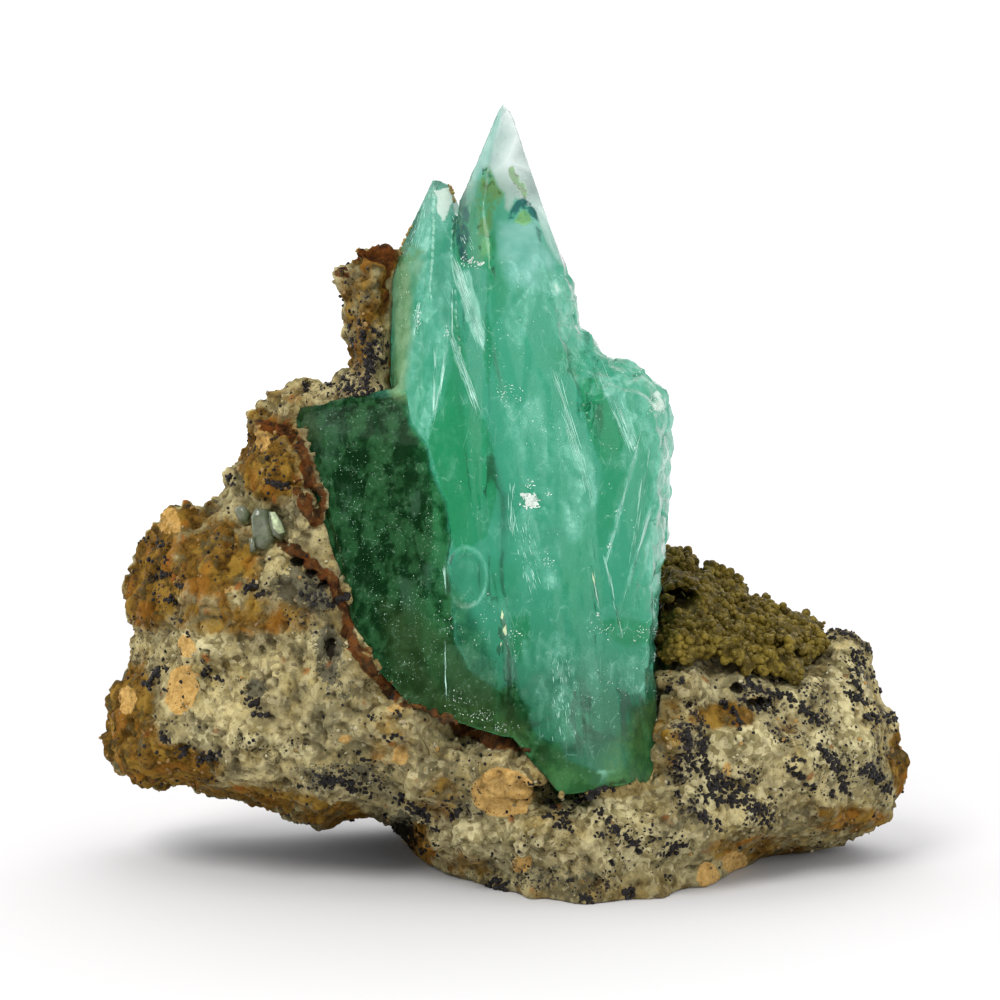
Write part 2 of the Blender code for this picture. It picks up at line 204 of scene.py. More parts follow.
from mathutils import Matrix
Matrix_mm = Matrix.Scale(0.001, 4)
Matrix_m = Matrix.Scale(1000.0, 4)


def evaluated(me, *modifiers):
    """Mesh after modifiers, each (type, {setting: value})."""
    obj = bpy.data.objects.new("work", me)
    bpy.context.scene.collection.objects.link(obj)
    for kind, settings in modifiers:
        mod = obj.modifiers.new(kind, kind)
        for key, value in settings.items():
            setattr(mod, key, value)
    graph = bpy.context.evaluated_depsgraph_get()
    out = bpy.data.meshes.new_from_object(obj.evaluated_get(graph))
    bpy.data.objects.remove(obj)
    return out


def remesh(me, size):
    return evaluated(me, ("REMESH", {"mode": "VOXEL", "voxel_size": size}))


def get_co(me):
    a = np.empty(len(me.vertices) * 3, np.float32)
    me.vertices.foreach_get("co", a)
    return a.reshape(-1, 3).astype(float)


def set_co(me, co):
    me.vertices.foreach_set("co", np.asarray(co, np.float32).ravel())
    me.update()


def get_no(me):
    a = np.empty(len(me.vertices) * 3, np.float32)
    me.vertices.foreach_get("normal", a)
    return a.reshape(-1, 3).astype(float)


def put(me, name, values):
    at = me.attributes.get(name) or me.attributes.new(name, "FLOAT", "POINT")
    at.data.foreach_set("value", np.asarray(values, np.float32))


def bvh(me):
    return BVHTree.FromPolygons([v.co[:] for v in me.vertices],
                                [p.vertices[:] for p in me.polygons])


def cad_mesh(name):
    me = NODES[name].data.copy()
    me.transform(Matrix_m)
    bm = bmesh.new()
    bm.from_mesh(me)
    bmesh.ops.remove_doubles(bm, verts=bm.verts[:], dist=0.0005)
    bm.to_mesh(me)
    bm.free()
    return me


def thin(me, most, keep=None):
    """Fewer triangles, at most the given number; keep marks vertices left as they are."""
    n = sum(len(p.vertices) - 2 for p in me.polygons)
    if n <= most:
        return me
    obj = bpy.data.objects.new("work", me)
    bpy.context.scene.collection.objects.link(obj)
    mod = obj.modifiers.new("thin", "DECIMATE")
    mod.ratio = most / n
    if keep is not None:
        group = obj.vertex_groups.new(name="free")
        group.add(np.nonzero(~keep)[0].tolist(), 1.0, "REPLACE")
        mod.vertex_group = "free"
    out = bpy.data.meshes.new_from_object(obj.evaluated_get(bpy.context.evaluated_depsgraph_get()))
    bpy.data.objects.remove(obj)
    out.shade_smooth()
    return out


def relax(me, rounds=2, factor=0.5):
    return evaluated(me, ("SMOOTH", {"iterations": rounds, "factor": factor}))


# ------------------------------------------------------------ shader helpers
class Nodes:
    def __init__(self, name):
        self.mat = bpy.data.materials.new(name)
        self.mat.use_nodes = True
        self.t = self.mat.node_tree
        self.shader = self.t.nodes["Principled BSDF"]
        self.out = self.t.nodes["Material Output"]
        self.co = self.t.nodes.new("ShaderNodeTexCoord").outputs["Object"]

    def node(self, kind, links=(), **settings):
        n = self.t.nodes.new("ShaderNode" + kind)
        for k, v in settings.items():
            setattr(n, k, v)
        for key, v in dict(links).items():
            sock = n.inputs[key]
            if isinstance(v, bpy.types.NodeSocket):
                self.t.links.new(v, sock)
            else:
                sock.default_value = v
        return n

    def mapped(self, scale=(1, 1, 1), rot=(0, 0, 0), loc=(0, 0, 0)):
        return self.node("Mapping", {"Vector": self.co, "Scale": scale, "Rotation": rot,
                                     "Location": loc}).outputs["Vector"]

    def noise(self, scale, detail=4.0, rough=0.55, vec=None, distort=0.0, lac=2.0):
        return self.node("TexNoise", {"Vector": vec or self.co, "Scale": scale, "Detail": detail,
                                      "Roughness": rough, "Distortion": distort,
                                      "Lacunarity": lac}).outputs["Fac"]

    def voronoi(self, scale, feature="F1", vec=None, out="Distance", random=1.0):
        return self.node("TexVoronoi", {"Vector": vec or self.co, "Scale": scale,
                                        "Randomness": random}, feature=feature).outputs[out]

    def attr(self, name):
        return self.node("Attribute", attribute_name=name).outputs["Fac"]

    def math(self, op, a, b=0.0, clamp=False):
        return self.node("Math", {0: a, 1: b}, operation=op, use_clamp=clamp).outputs[0]

    def range(self, v, a, b, c=0.0, d=1.0):
        return self.node("MapRange", {"Value": v, "From Min": a, "From Max": b, "To Min": c,
                                      "To Max": d}, interpolation_type="SMOOTHSTEP").outputs[0]

    def mix(self, fac, a, b, blend="MIX"):
        n = self.node("Mix", {}, data_type="RGBA", blend_type=blend)
        for sock, v in ((n.inputs[0], fac), (n.inputs[6], a), (n.inputs[7], b)):
            if isinstance(v, bpy.types.NodeSocket):
                self.t.links.new(v, sock)
            elif isinstance(v, tuple):
                sock.default_value = (*v, 1.0) if len(v) == 3 else v
            else:
                sock.default_value = v
        return n.outputs[2]

    def bump(self, height, distance, strength=1.0, normal=None):
        links = {"Height": height, "Distance": distance, "Strength": strength}
        if normal:
            links["Normal"] = normal
        return self.node("Bump", links).outputs["Normal"]

    def set(self, **values):
        for key, v in values.items():
            sock = self.shader.inputs[key.replace("_", " ")]
            if isinstance(v, bpy.types.NodeSocket):
                self.t.links.new(v, sock)
            else:
                sock.default_value = (*v, 1.0) if isinstance(v, tuple) and len(v) == 3 else v


# ------------------------------------------------------------------ materials
def stone_material():
    m = Nodes("granular_stone")
    warp = m.node("TexNoise", {"Vector": m.co, "Scale": 1500, "Detail": 3.0}).outputs["Color"]
    warped = m.node("VectorMath", {0: m.node("VectorMath", {0: warp, 1: (0.5, 0.5, 0.5)}, operation="SUBTRACT").outputs[0],
                                   "Scale": 0.00030}, operation="SCALE").outputs[0]
    warped = m.node("VectorMath", {0: m.co, 1: warped}, operation="ADD").outputs[0]
    fine = m.noise(3000, 5, 0.7)
    mid = m.noise(800, 4, 0.6)
    wide = m.attr("n5")
    cells = m.node("SeparateColor", {"Color": m.voronoi(2500, out="Color", vec=warped)})
    c1, c2 = cells.outputs[0], cells.outputs[1]
    tan = m.mix(m.range(mid, 0.34, 0.64), (0.105, 0.073, 0.021), (0.44, 0.35, 0.135))
    tan = m.mix(m.range(m.attr("n0"), 0.44, 0.60, 0.0, 0.80), tan, (0.66, 0.56, 0.275))
    tan = m.mix(m.range(m.attr("n1"), 0.54, 0.64, 0.0, 0.7), tan, (0.095, 0.080, 0.042))
    base = m.mix(m.range(c1, 0.30, 0.75, 0.0, 0.55), tan, m.mix(c2, (0.30, 0.25, 0.11), (0.62, 0.55, 0.31)))
    base = m.mix(m.range(c1, 0.24, 0.12, 0.0, 0.55), base, (0.105, 0.090, 0.050))
    base = m.mix(m.range(fine, 0.52, 0.66, 0.0, 0.55), base, (0.080, 0.058, 0.022))
    base = m.mix(m.range(wide, 0.40, 0.60, 0.30, 0.0), base, (0.20, 0.19, 0.115))
    half = m.math("SUBTRACT", mid, 0.5)

    def cover(name, gain, a, b):
        return m.range(m.math("ADD", m.attr(name), m.math("MULTIPLY", half, gain)), a, b)

    # pale cream stone, partly painted highlight on the lit tops
    pale = cover("pale", 1.0, 0.35, 0.85)
    base = m.mix(m.math("MULTIPLY", pale, 0.75), base,
                 m.mix(m.range(m.math("ADD", c2, m.math("MULTIPLY", half, 1.6)), 0.25, 0.75), (0.27, 0.235, 0.108), (0.68, 0.61, 0.345)))
    speck = m.math("SUBTRACT", fine, 0.5)
    # painted shade: dark grey patches in the recesses, on the shadowed face of the notch and along the lower edge
    painted_shade = m.range(m.math("ADD", m.math("ADD", m.attr("painted_shade"), m.math("MULTIPLY", half, 1.2)), m.math("MULTIPLY", speck, 2.4)), 0.46, 0.58)
    base = m.mix(m.math("MULTIPLY", painted_shade, 0.82), base,
                 m.mix(m.range(fine, 0.35, 0.6), (0.022, 0.022, 0.020), (0.10, 0.10, 0.070)))
    ochre = m.mix(m.range(fine, 0.38, 0.62), (0.212, 0.104, 0.009), (0.080, 0.038, 0.003))
    ochre = m.mix(m.range(m.attr("n2"), 0.50, 0.62, 0.0, 0.65), ochre, (0.340, 0.200, 0.028))
    ochre = m.mix(m.range(mid, 0.48, 0.38, 0.0, 0.85), ochre, (0.048, 0.034, 0.008))
    ochre = m.mix(m.range(m.attr("n3"), 0.56, 0.66, 0.0, 0.65), ochre, (0.30, 0.115, 0.008))
    base = m.mix(m.math("MULTIPLY", cover("stain", 1.2, 0.26, 0.74), 0.95), base, ochre)
    peach = m.range(m.math("ADD", m.attr("peach"), m.math("MULTIPLY", m.math("SUBTRACT", m.noise(1700, 3), 0.5), 0.6)),
                    0.42, 0.60)
    base = m.mix(m.math("MULTIPLY", peach, 0.88), base,
                 m.mix(m.range(fine, 0.36, 0.64), (0.72, 0.46, 0.155), (0.48, 0.27, 0.070)))
    rusty = m.math("MULTIPLY", m.range(m.voronoi(620, vec=warped), 0.24, 0.10), m.range(m.attr("n6"), 0.50, 0.60))
    base = m.mix(m.math("MULTIPLY", rusty, 0.75), base, (0.30, 0.10, 0.018))
    # black sulphide specks, in clusters, thicker where the dark attribute is high
    dark = m.attr("dark")
    cluster = m.range(m.attr("n4"), 0.44, 0.60)
    lim = m.node("Math", {0: dark, 1: 0.36, 2: 0.010}, operation="MULTIPLY_ADD").outputs[0]
    lim = m.math("MULTIPLY", lim, m.math("ADD", cluster, 0.22))
    black = m.range(m.math("SUBTRACT", lim, m.voronoi(2700, vec=warped)), -0.02, 0.03)
    black = m.math("MAXIMUM", black, m.range(m.math("SUBTRACT", m.math("MULTIPLY", lim, 0.45), fine), -0.36, -0.28, 0.0, 0.85))
    base = m.mix(black, base, (0.014, 0.012, 0.018))
    # rusty selvage against the crystal
    rim = m.range(m.math("ADD", m.attr("rim"), m.math("MULTIPLY", m.math("SUBTRACT", m.noise(1100, 3), 0.5), 0.55)),
                  0.36, 0.66)
    rust = m.mix(m.range(m.noise(1500, 4, 0.6), 0.36, 0.64), (0.026, 0.008, 0.003), (0.135, 0.040, 0.007))
    rust = m.mix(m.range(m.noise(2300, 3), 0.56, 0.66, 0.0, 0.35), rust, (0.24, 0.13, 0.03))
    base = m.mix(m.math("MULTIPLY", rim, 0.94), base, rust)
    film = m.range(m.math("ADD", m.attr("film"), m.math("MULTIPLY", half, 0.5)), 0.35, 0.7)
    base = m.mix(m.math("MULTIPLY", film, 0.8), base, m.mix(m.range(fine, 0.4, 0.6), (0.34, 0.26, 0.10), (0.20, 0.14, 0.045)))
    # painted shade: the hollows near black
    pit_shade = m.range(m.math("ADD", m.attr("hole_shade"), m.math("MULTIPLY", speck, 1.4)), 0.36, 0.56)
    base = m.mix(m.math("MULTIPLY", pit_shade, 0.92), base, (0.012, 0.009, 0.006))
    # painted shade: the stone is darkened in its crevices, cracks and pits
    base = m.mix(m.math("MULTIPLY", m.attr("crevice_shade"), 0.6), base, m.mix(1.0, base, (0.22, 0.17, 0.10), "MULTIPLY"))
    rough = m.mix(black, (0.88, 0.88, 0.88), (0.36, 0.36, 0.36))
    n = m.bump(m.noise(2800, 2, 0.7), 0.00009, 1.0)
    m.set(Base_Color=base, Roughness=rough, Normal=n, Specular_IOR_Level=0.08)
    return m.mat


def sulphide_material():
    m = Nodes("black_sulphide")
    v = m.noise(2400, 3)
    m.set(Base_Color=m.mix(m.range(v, 0.35, 0.7), (0.007, 0.006, 0.006), (0.026, 0.022, 0.022)),
          Roughness=m.range(v, 0.3, 0.7, 0.35, 0.65), Specular_IOR_Level=0.22,
          Normal=m.bump(m.noise(5200, 3), 0.00003, 0.6))
    return m.mat


def grain_material():
    m = Nodes("pale_grains")
    tone = m.attr("tone")
    a = m.mix(m.range(tone, 0.1, 0.7), (0.20, 0.165, 0.085), (0.50, 0.45, 0.27))
    a = m.mix(m.range(tone, 0.86, 0.92), a, (0.40, 0.24, 0.07))
    a = m.mix(m.range(m.attr("stain"), 0.25, 0.7), a, m.mix(tone, (0.15, 0.07, 0.014), (0.36, 0.21, 0.06)))
    a = m.mix(m.range(m.noise(4200, 3), 0.52, 0.72, 0.0, 0.6), a, (0.085, 0.065, 0.035))
    m.set(Base_Color=a, Roughness=m.range(tone, 0.0, 1.0, 0.5, 0.85), Specular_IOR_Level=0.4,
          Normal=m.bump(m.noise(5200, 3), 0.00003, 0.7))
    return m.mat


def crust_material():
    m = Nodes("brown_druse")
    v = m.noise(900, 4, 0.6)
    f = m.noise(4200, 4, 0.68)
    a = m.mix(m.range(v, 0.35, 0.65), (0.066, 0.046, 0.0045), (0.215, 0.155, 0.022))
    a = m.mix(m.range(m.noise(300, 2), 0.5, 0.68, 0.0, 0.6), a, (0.115, 0.092, 0.022))
    a = m.mix(m.range(f, 0.48, 0.40, 0.0, 0.6), a, (0.034, 0.024, 0.005))
    a = m.mix(m.range(f, 0.57, 0.66, 0.0, 0.7), a, (0.33, 0.26, 0.07))
    # painted shade: darker in the valleys between the knobs, near black in the hollows
    a = m.mix(m.math("MULTIPLY", m.attr("deep"), 0.55), a, (0.030, 0.021, 0.004))
    a = m.mix(m.math("MULTIPLY", m.attr("hole_shade"), 0.92), a, (0.008, 0.006, 0.003))
    m.set(Base_Color=a, Roughness=m.range(f, 0.4, 0.7, 0.65, 0.30), Specular_IOR_Level=0.12,
          Normal=m.bump(m.noise(3600, 2, 0.7), 0.00012, 1.0))
    return m.mat


def crystal_material():
    m = Nodes("blue_green_crystal")
    fibre = m.noise(1.0, 4, 0.62, vec=m.mapped((2700, 2700, 520), rot=(0.0, 0.10, 0.0)))
    hair = m.noise(5200, 3, 0.65)
    patch = m.noise(1000, 4, 0.62)
    c = m.attr("cloud")
    p = m.math("SUBTRACT", patch, 0.5)
    milk = m.math("ADD", m.attr("milk"), m.math("MULTIPLY", c, 0.22))
    milk = m.math("ADD", milk, m.math("MULTIPLY", m.math("SUBTRACT", fibre, 0.5), 0.45))
    milk = m.math("ADD", milk, m.math("MULTIPLY", p, 0.35))
    # painted facet light and shade, with a random tone per facet
    milk = m.math("ADD", milk, m.math("MULTIPLY", m.attr("facet_tone_and_shade"), 0.42))
    cells = m.mapped((1500, 1500, 640), rot=(0.0, 0.13, 0.0))
    tone = m.node("SeparateColor", {"Color": m.voronoi(1.0, out="Color", vec=cells)}).outputs[0]
    tone = m.math("SUBTRACT", tone, 0.5)
    seam = m.math("MULTIPLY", m.range(m.voronoi(1.0, feature="DISTANCE_TO_EDGE", vec=cells), 0.05, 0.0), m.range(patch, 0.50, 0.62))
    milk = m.math("ADD", milk, m.math("MULTIPLY", tone, 0.26))
    grit = m.math("SUBTRACT", m.noise(3300, 3, 0.7), 0.5)
    milk = m.math("ADD", milk, m.math("MULTIPLY", grit, 0.60))
    milk = m.range(milk, 0.05, 1.10)
    deep, dark, clear = m.attr("deep"), m.attr("dark"), m.attr("clear")
    body = m.mix(m.range(m.math("ADD", deep, m.math("MULTIPLY", c, 0.25)), 0.1, 0.9), (0.066, 0.42, 0.265), (0.013, 0.32, 0.130))
    body = m.mix(milk, body, (0.26, 0.64, 0.51))
    # painted shade: the crystal darker and greener towards the bottom
    body = m.mix(m.math("MULTIPLY", m.attr("low"), 0.85), body, m.mix(milk, (0.014, 0.118, 0.045), (0.080, 0.275, 0.155)))
    body = m.mix(m.range(milk, 0.80, 1.0, 0.0, 0.75), body, (0.42, 0.80, 0.66))
    # painted glints: whitish specks in clusters
    glint = m.math("MULTIPLY", m.range(hair, 0.62, 0.70), m.range(m.math("ADD", patch, m.math("MULTIPLY", fibre, 0.6)), 0.88, 0.98))
    body = m.mix(m.math("MULTIPLY", glint, 0.65), body, (0.66, 0.86, 0.77))
    body = m.mix(m.math("MULTIPLY", seam, 0.45), body, (0.46, 0.76, 0.64))
    # the dark lower left part, where rock lies behind: painted shade in cloudy dark green, peppered with painted
    # sparkles of fine cleavage
    painted_shade = m.mix(m.range(m.math("ADD", m.math("ADD", m.math("ADD", patch, m.math("MULTIPLY", c, 0.16)), m.math("MULTIPLY", tone, 0.16)), m.math("MULTIPLY", m.attr("facet_tone_and_shade"), 0.16)), 0.36, 0.66), (0.004, 0.040, 0.008), (0.044, 0.180, 0.062))
    painted_shade = m.mix(m.math("MULTIPLY", m.range(m.math("ADD", m.attr("milk"), m.math("MULTIPLY", m.math("SUBTRACT", fibre, 0.5), 1.6)), 0.15, 0.9), 0.6), painted_shade, (0.090, 0.225, 0.125))
    painted_shade = m.mix(m.math("MULTIPLY", m.attr("moss"), m.range(patch, 0.35, 0.6, 0.5, 1.0)), painted_shade, (0.058, 0.112, 0.034))
    # painted sparkles in the dark part
    sparkle = m.math("MULTIPLY", m.range(hair, 0.58, 0.68), m.range(patch, 0.42, 0.60))
    painted_shade = m.mix(m.math("MULTIPLY", seam, 0.40), painted_shade, (0.13, 0.29, 0.165))
    painted_shade = m.mix(m.math("MULTIPLY", sparkle, 0.80), painted_shade, (0.27, 0.46, 0.30))
    body = m.mix(dark, body, painted_shade)
    body = m.mix(m.attr("blue"), body, m.mix(m.range(patch, 0.35, 0.65), (0.30, 0.66, 0.60), (0.50, 0.84, 0.80)))
    body = m.mix(m.attr("yellow"), body, m.mix(m.range(patch, 0.35, 0.65), (0.20, 0.29, 0.10), (0.42, 0.50, 0.25)))
    body = m.mix(m.math("MULTIPLY", m.attr("olive"), m.range(m.math("ADD", patch, m.math("MULTIPLY", grit, 0.7)), 0.38, 0.56, 0.25, 1.0)), body, (0.125, 0.270, 0.065))
    white = m.range(m.math("ADD", m.attr("white"), m.math("MULTIPLY", p, 1.5)), 0.35, 0.80)
    body = m.mix(m.math("MULTIPLY", white, 0.85), body, (0.74, 0.85, 0.77))
    wisp = m.range(m.math("ABSOLUTE", m.math("SUBTRACT", m.noise(700, 4, 0.6), 0.5)), 0.016, 0.0)
    wisp = m.math("MULTIPLY", wisp, m.range(patch, 0.42, 0.56))
    body = m.mix(clear, body, m.mix(m.math("MULTIPLY", wisp, 0.7), (0.905, 0.945, 0.915), (0.62, 0.72, 0.68)))
    flank = m.math("MULTIPLY", m.math("MULTIPLY", m.attr("blue"), clear), 1.9)
    body = m.mix(flank, body, m.mix(m.range(patch, 0.35, 0.65), (0.25, 0.66, 0.54), (0.52, 0.88, 0.79)))
    broken = m.range(m.math("ADD", patch, m.math("MULTIPLY", grit, 0.8)), 0.36, 0.52, 0.35, 1.0)
    teal = m.math("MULTIPLY", m.attr("teal"), broken)
    lime = m.math("MULTIPLY", m.attr("lime"), broken)
    body = m.mix(lime, body, (0.20, 0.47, 0.185))
    body = m.mix(teal, body, (0.012, 0.105, 0.095))
    # painted edge shade on the clear point
    body = m.mix(m.math("MULTIPLY", m.attr("painted_edge_shade"), 0.9), body, (0.30, 0.43, 0.39))
    # how much passes straight through: milky, clear or fractured
    see = m.range(milk, 0.0, 1.0, 0.80, 0.55)
    see = m.math("MULTIPLY", see, m.range(m.attr("skin"), 0.0, 1.0, 1.0, 0.62))
    see = m.math("MULTIPLY", see, m.range(white, 0.0, 1.0, 1.0, 0.40))
    see = m.mix(dark, see, (0.60, 0.60, 0.60))
    see = m.mix(m.attr("yellow"), see, (0.62, 0.62, 0.62))
    see = m.mix(m.attr("olive"), see, (0.60, 0.60, 0.60))
    see = m.mix(clear, see, (1.0, 1.0, 1.0))
    see = m.mix(flank, see, (0.50, 0.50, 0.50))
    see = m.mix(m.math("MAXIMUM", teal, lime), see, (0.30, 0.30, 0.30))
    see = m.mix(m.attr("painted_edge_shade"), see, (0.42, 0.42, 0.42))
    rough = m.mix(clear, m.range(patch, 0.35, 0.65, 0.12, 0.26), (0.02, 0.02, 0.02))
    rough = m.mix(dark, rough, (0.32, 0.32, 0.32))
    tint = m.mix(dark, (0.55, 0.66, 0.60), (0.06, 0.10, 0.07))
    m.set(Base_Color=body, Roughness=rough, Transmission_Weight=see, IOR=1.60, Specular_IOR_Level=0.25,
          Specular_Tint=m.mix(clear, tint, (1.0, 1.0, 1.0)))
    vol = m.node("VolumeAbsorption", {"Color": (0.30, 0.80, 0.68, 1.0), "Density": 95.0})
    m.t.links.new(vol.outputs[0], m.out.inputs["Volume"])
    return m.mat


def vug_material():
    m = Nodes("grey_green_crystal")
    m.set(Base_Color=m.mix(m.range(m.noise(1300, 3), 0.35, 0.65), (0.30, 0.38, 0.22), (0.52, 0.58, 0.40)),
          Roughness=m.range(m.noise(1800, 3), 0.35, 0.7, 0.05, 0.25), Transmission_Weight=0.75, IOR=1.55, Normal=m.bump(m.noise(3000, 3), 0.00003, 0.4))
    vol = m.node("VolumeAbsorption", {"Color": (0.50, 0.66, 0.36, 1.0), "Density": 700.0})
    m.t.links.new(vol.outputs[0], m.out.inputs["Volume"])
    return m.mat


def veil_material(name, colour, alpha, streaky=0.8, scale=(2600, 2600, 200), rot=(0, 0, 0)):
    """A milky plane in the crystal: thin, patchy, lit from both sides."""
    m = Nodes(name)
    s = m.noise(1.0, 4, 0.62, vec=m.mapped(scale, rot=rot))
    patch = m.noise(520, 3, 0.55)
    k = m.math("MULTIPLY", m.range(s, 0.5 - 0.32 * streaky, 0.62), m.range(patch, 0.30, 0.62, 0.35, 1.0))
    m.set(Base_Color=colour, Roughness=0.55, Alpha=m.math("MULTIPLY", k, alpha),
          Specular_IOR_Level=0.2)
    return m.mat


def plain_material(name, colour, rough, spec=0.5, alpha=None, metallic=0.0, vary=0.25, scale=2200):
    m = Nodes(name)
    dark = tuple(c * (1 - vary) for c in colour)
    light = tuple(min(1.0, c * (1 + vary)) for c in colour)
    m.set(Base_Color=m.mix(m.range(m.noise(scale, 3), 0.3, 0.7), dark, light), Roughness=rough,
          Specular_IOR_Level=spec, Metallic=metallic,
          Normal=m.bump(m.noise(scale * 2, 3), 0.00003, 0.5))
    if alpha is not None:
        m.set(Alpha=alpha)
    return m.mat


# ---------------------------------------------------------------------- stage
def make_stage():
    profile = [(0.0, 0.0), (0.25, 0.0), (0.5, 0.0)]
    for k in range(1, 13):
        a = math.radians(90 * k / 12)
        profile.append((0.5 + 0.45 * math.sin(a), 0.30 * (1 - math.cos(a))))
    profile.append((0.95, 1.3))
    bm = bmesh.new()
    ring = [bm.verts.new((r, 0.0, z - 0.00002)) for r, z in profile]
    edges = [bm.edges.new((a, b)) for a, b in zip(ring, ring[1:])]
    bmesh.ops.spin(bm, geom=ring + edges, cent=(0, 0, 0), axis=(0, 0, 1), angle=math.tau,
                   steps=96, use_merge=True)
    bmesh.ops.remove_doubles(bm, verts=bm.verts[:], dist=1e-6)
    bmesh.ops.recalc_face_normals(bm, faces=bm.faces[:])
    me = bpy.data.meshes.new("pale_floor")
    bm.to_mesh(me)
    bm.free()
    me.shade_smooth()
    m = Nodes("pale_floor")
    flat = m.node("VectorMath", {0: m.co, 1: (1.0, 1.0, 0.0)}, operation="MULTIPLY").outputs[0]
    r = m.node("VectorMath", {0: flat}, operation="LENGTH").outputs["Value"]
    y = m.node("SeparateXYZ", {"Vector": m.co}).outputs["Y"]
    glow = m.math("MULTIPLY", m.range(r, 0.05, 0.50, 0.0, 0.50), m.range(y, -0.45, 0.10, 0.05, 1.0))
    far = m.range(r, 0.45, 0.70)
    wall = m.range(y, -0.45, 0.10, 0.62, 1.15)
    glow = m.math("ADD", m.math("MULTIPLY", glow, m.math("SUBTRACT", 1.0, far)), m.math("MULTIPLY", wall, far))
    m.set(Base_Color=m.mix(far, (0.77, 0.762, 0.775), (0.0, 0.0, 0.0)), Roughness=1.0, Specular_IOR_Level=0.0,
          Emission_Color=(1.0, 1.0, 1.0), Emission_Strength=glow)
    m.mat.cycles.emission_sampling = "NONE"
    obj = bpy.data.objects.new("pale_floor", me)
    me.materials.append(m.mat)
    bpy.context.scene.collection.objects.link(obj)


def make_lights():
    world = bpy.data.worlds.new("studio")
    bpy.context.scene.world = world
    world.use_nodes = True
    bg = world.node_tree.nodes["Background"]
    bg.inputs[0].default_value = (1.0, 1.0, 1.0, 1.0)
    bg.inputs[1].default_value = 0.85
    world.cycles.sampling_method = "NONE"

    def area(name, loc, aim, size, power, colour=(1, 1, 1)):
        lamp = bpy.data.lights.new(name, "AREA")
        lamp.shape = "DISK"
        lamp.size = size
        lamp.energy = power
        lamp.color = colour
        o = bpy.data.objects.new(name, lamp)
        bpy.context.scene.collection.objects.link(o)
        o.location = loc
        o.rotation_euler = (Vector(aim) - Vector(loc)).to_track_quat("-Z", "Y").to_euler()

    area("key", (-0.17, -0.24, 0.34), (0, 0, 0.018), 0.22, 0.95, (1.0, 0.985, 0.94))
    area("fill", (0.26, -0.30, 0.10), (0, 0, 0.015), 0.40, 0.50, (1.0, 0.99, 0.97))
    area("back", (0.08, 0.36, 0.30), (0, 0, 0.03), 0.50, 0.60, (1.0, 1.0, 1.0))


def make_camera():
    cam = bpy.data.cameras.new("camera")
    cam.sensor_width = 36.0
    cam.lens = FOCAL * 36.0 / 1000.0
    cam.clip_start, cam.clip_end = 0.005, 10.0
    obj = bpy.data.objects.new("camera", cam)
    bpy.context.scene.collection.objects.link(obj)
    obj.location = EYE * 0.001
    obj.rotation_euler = (math.pi / 2 - TILT, 0.0, 0.0)
    bpy.context.scene.camera = obj


# ---------------------------------------------------------------------- rock
# Stations on the front elevation: (u, v, half width, half height, strength).
PEACH = [(184, 646, 9, 11, 1.0), (179, 690, 15, 25, 1.0), (503, 793, 32, 24, 1.0),
         (735, 863, 13, 12, 0.9), (708, 876, 12, 14, 0.9), (128, 700, 10, 16, 0.6),
         (232, 590, 10, 6, 0.5), (345, 738, 7, 5, 1.0), (400, 757, 8, 9, 0.9),
         (262, 440, 8, 12, 0.7), (522, 864, 9, 9, 0.8), (727, 770, 6, 8, 0.7),
         (168, 520, 14, 16, 0.6), (395, 708, 9, 5, 0.6), (300, 800, 20, 8, 0.3)]
STAIN = [(125, 720, 34, 70, 0.85), (160, 770, 60, 26, 1.0), (150, 570, 34, 60, 0.95),
         (215, 560, 50, 50, 0.75), (185, 510, 34, 18, 0.8), (270, 460, 36, 46, 0.85),
         (240, 615, 90, 24, 0.6), (262, 425, 16, 18, 0.9), (375, 256, 26, 18, 1.0),
         (390, 290, 14, 44, 1.0), (358, 320, 26, 66, 0.62), (250, 800, 70, 16, 0.7),
         (335, 815, 40, 16, 0.75), (420, 850, 14, 30, 0.8), (440, 800, 26, 30, 0.55),
         (470, 865, 30, 14, 0.55), (760, 850, 60, 16, 0.6), (850, 820, 46, 16, 0.65),
         (902, 760, 12, 40, 0.9), (725, 715, 34, 14, 0.8), (790, 725, 16, 10, 0.5),
         (670, 730, 14, 50, 0.5), (560, 830, 40, 20, 0.3), (390, 740, 30, 30, 0.45),
         (290, 395, 30, 10, 0.5), (600, 890, 160, 12, 0.4)]
# pale cream stone; the thin bands along the tops near v 737-752 and the wide patch at (300, 730) are painted highlight
# where light falls on the tops
PALE_AND_LIT = [(214, 737, 26, 8, 1.0), (254, 743, 30, 8, 1.0), (296, 752, 26, 8, 0.9), (196, 630, 10, 22, 0.8),
        (300, 730, 120, 28, 0.42), (200, 640, 36, 18, 0.8), (250, 660, 60, 26, 0.45), (330, 700, 60, 18, 0.42),
        (600, 812, 40, 20, 1.0), (480, 840, 50, 30, 0.7), (640, 850, 80, 26, 0.7), (560, 850, 60, 20, 0.6),
        (850, 690, 20, 50, 1.0), (840, 750, 40, 30, 0.9), (700, 700, 24, 20, 0.6), (780, 790, 40, 20, 0.6),
        (320, 640, 24, 14, 0.6), (400, 730, 40, 14, 0.7), (740, 750, 50, 36, 0.8), (700, 780, 26, 40, 0.7),
        (215, 545, 20, 14, 0.5), (260, 530, 16, 10, 0.5), (420, 780, 30, 20, 0.6), (800, 690, 24, 20, 0.7)]
# painted shade patches: recesses, the shadowed face of the notch, the lower edge
SHADE_PATCHES = [(256, 452, 26, 34, 0.42), (170, 560, 22, 50, 0.34), (356, 320, 20, 60, 0.40),
         (305, 590, 34, 26, 0.95), (330, 655, 16, 34, 0.8), (345, 690, 30, 12, 0.45),
         (405, 832, 24, 24, 1.0), (255, 689, 13, 10, 0.95), (300, 628, 20, 12, 0.4),
         (700, 665, 30, 8, 0.5), (820, 800, 30, 16, 0.2), (560, 880, 60, 12, 0.45),
         (440, 878, 40, 10, 0.6), (350, 775, 60, 14, 0.5), (390, 395, 60, 12, 0.3)]
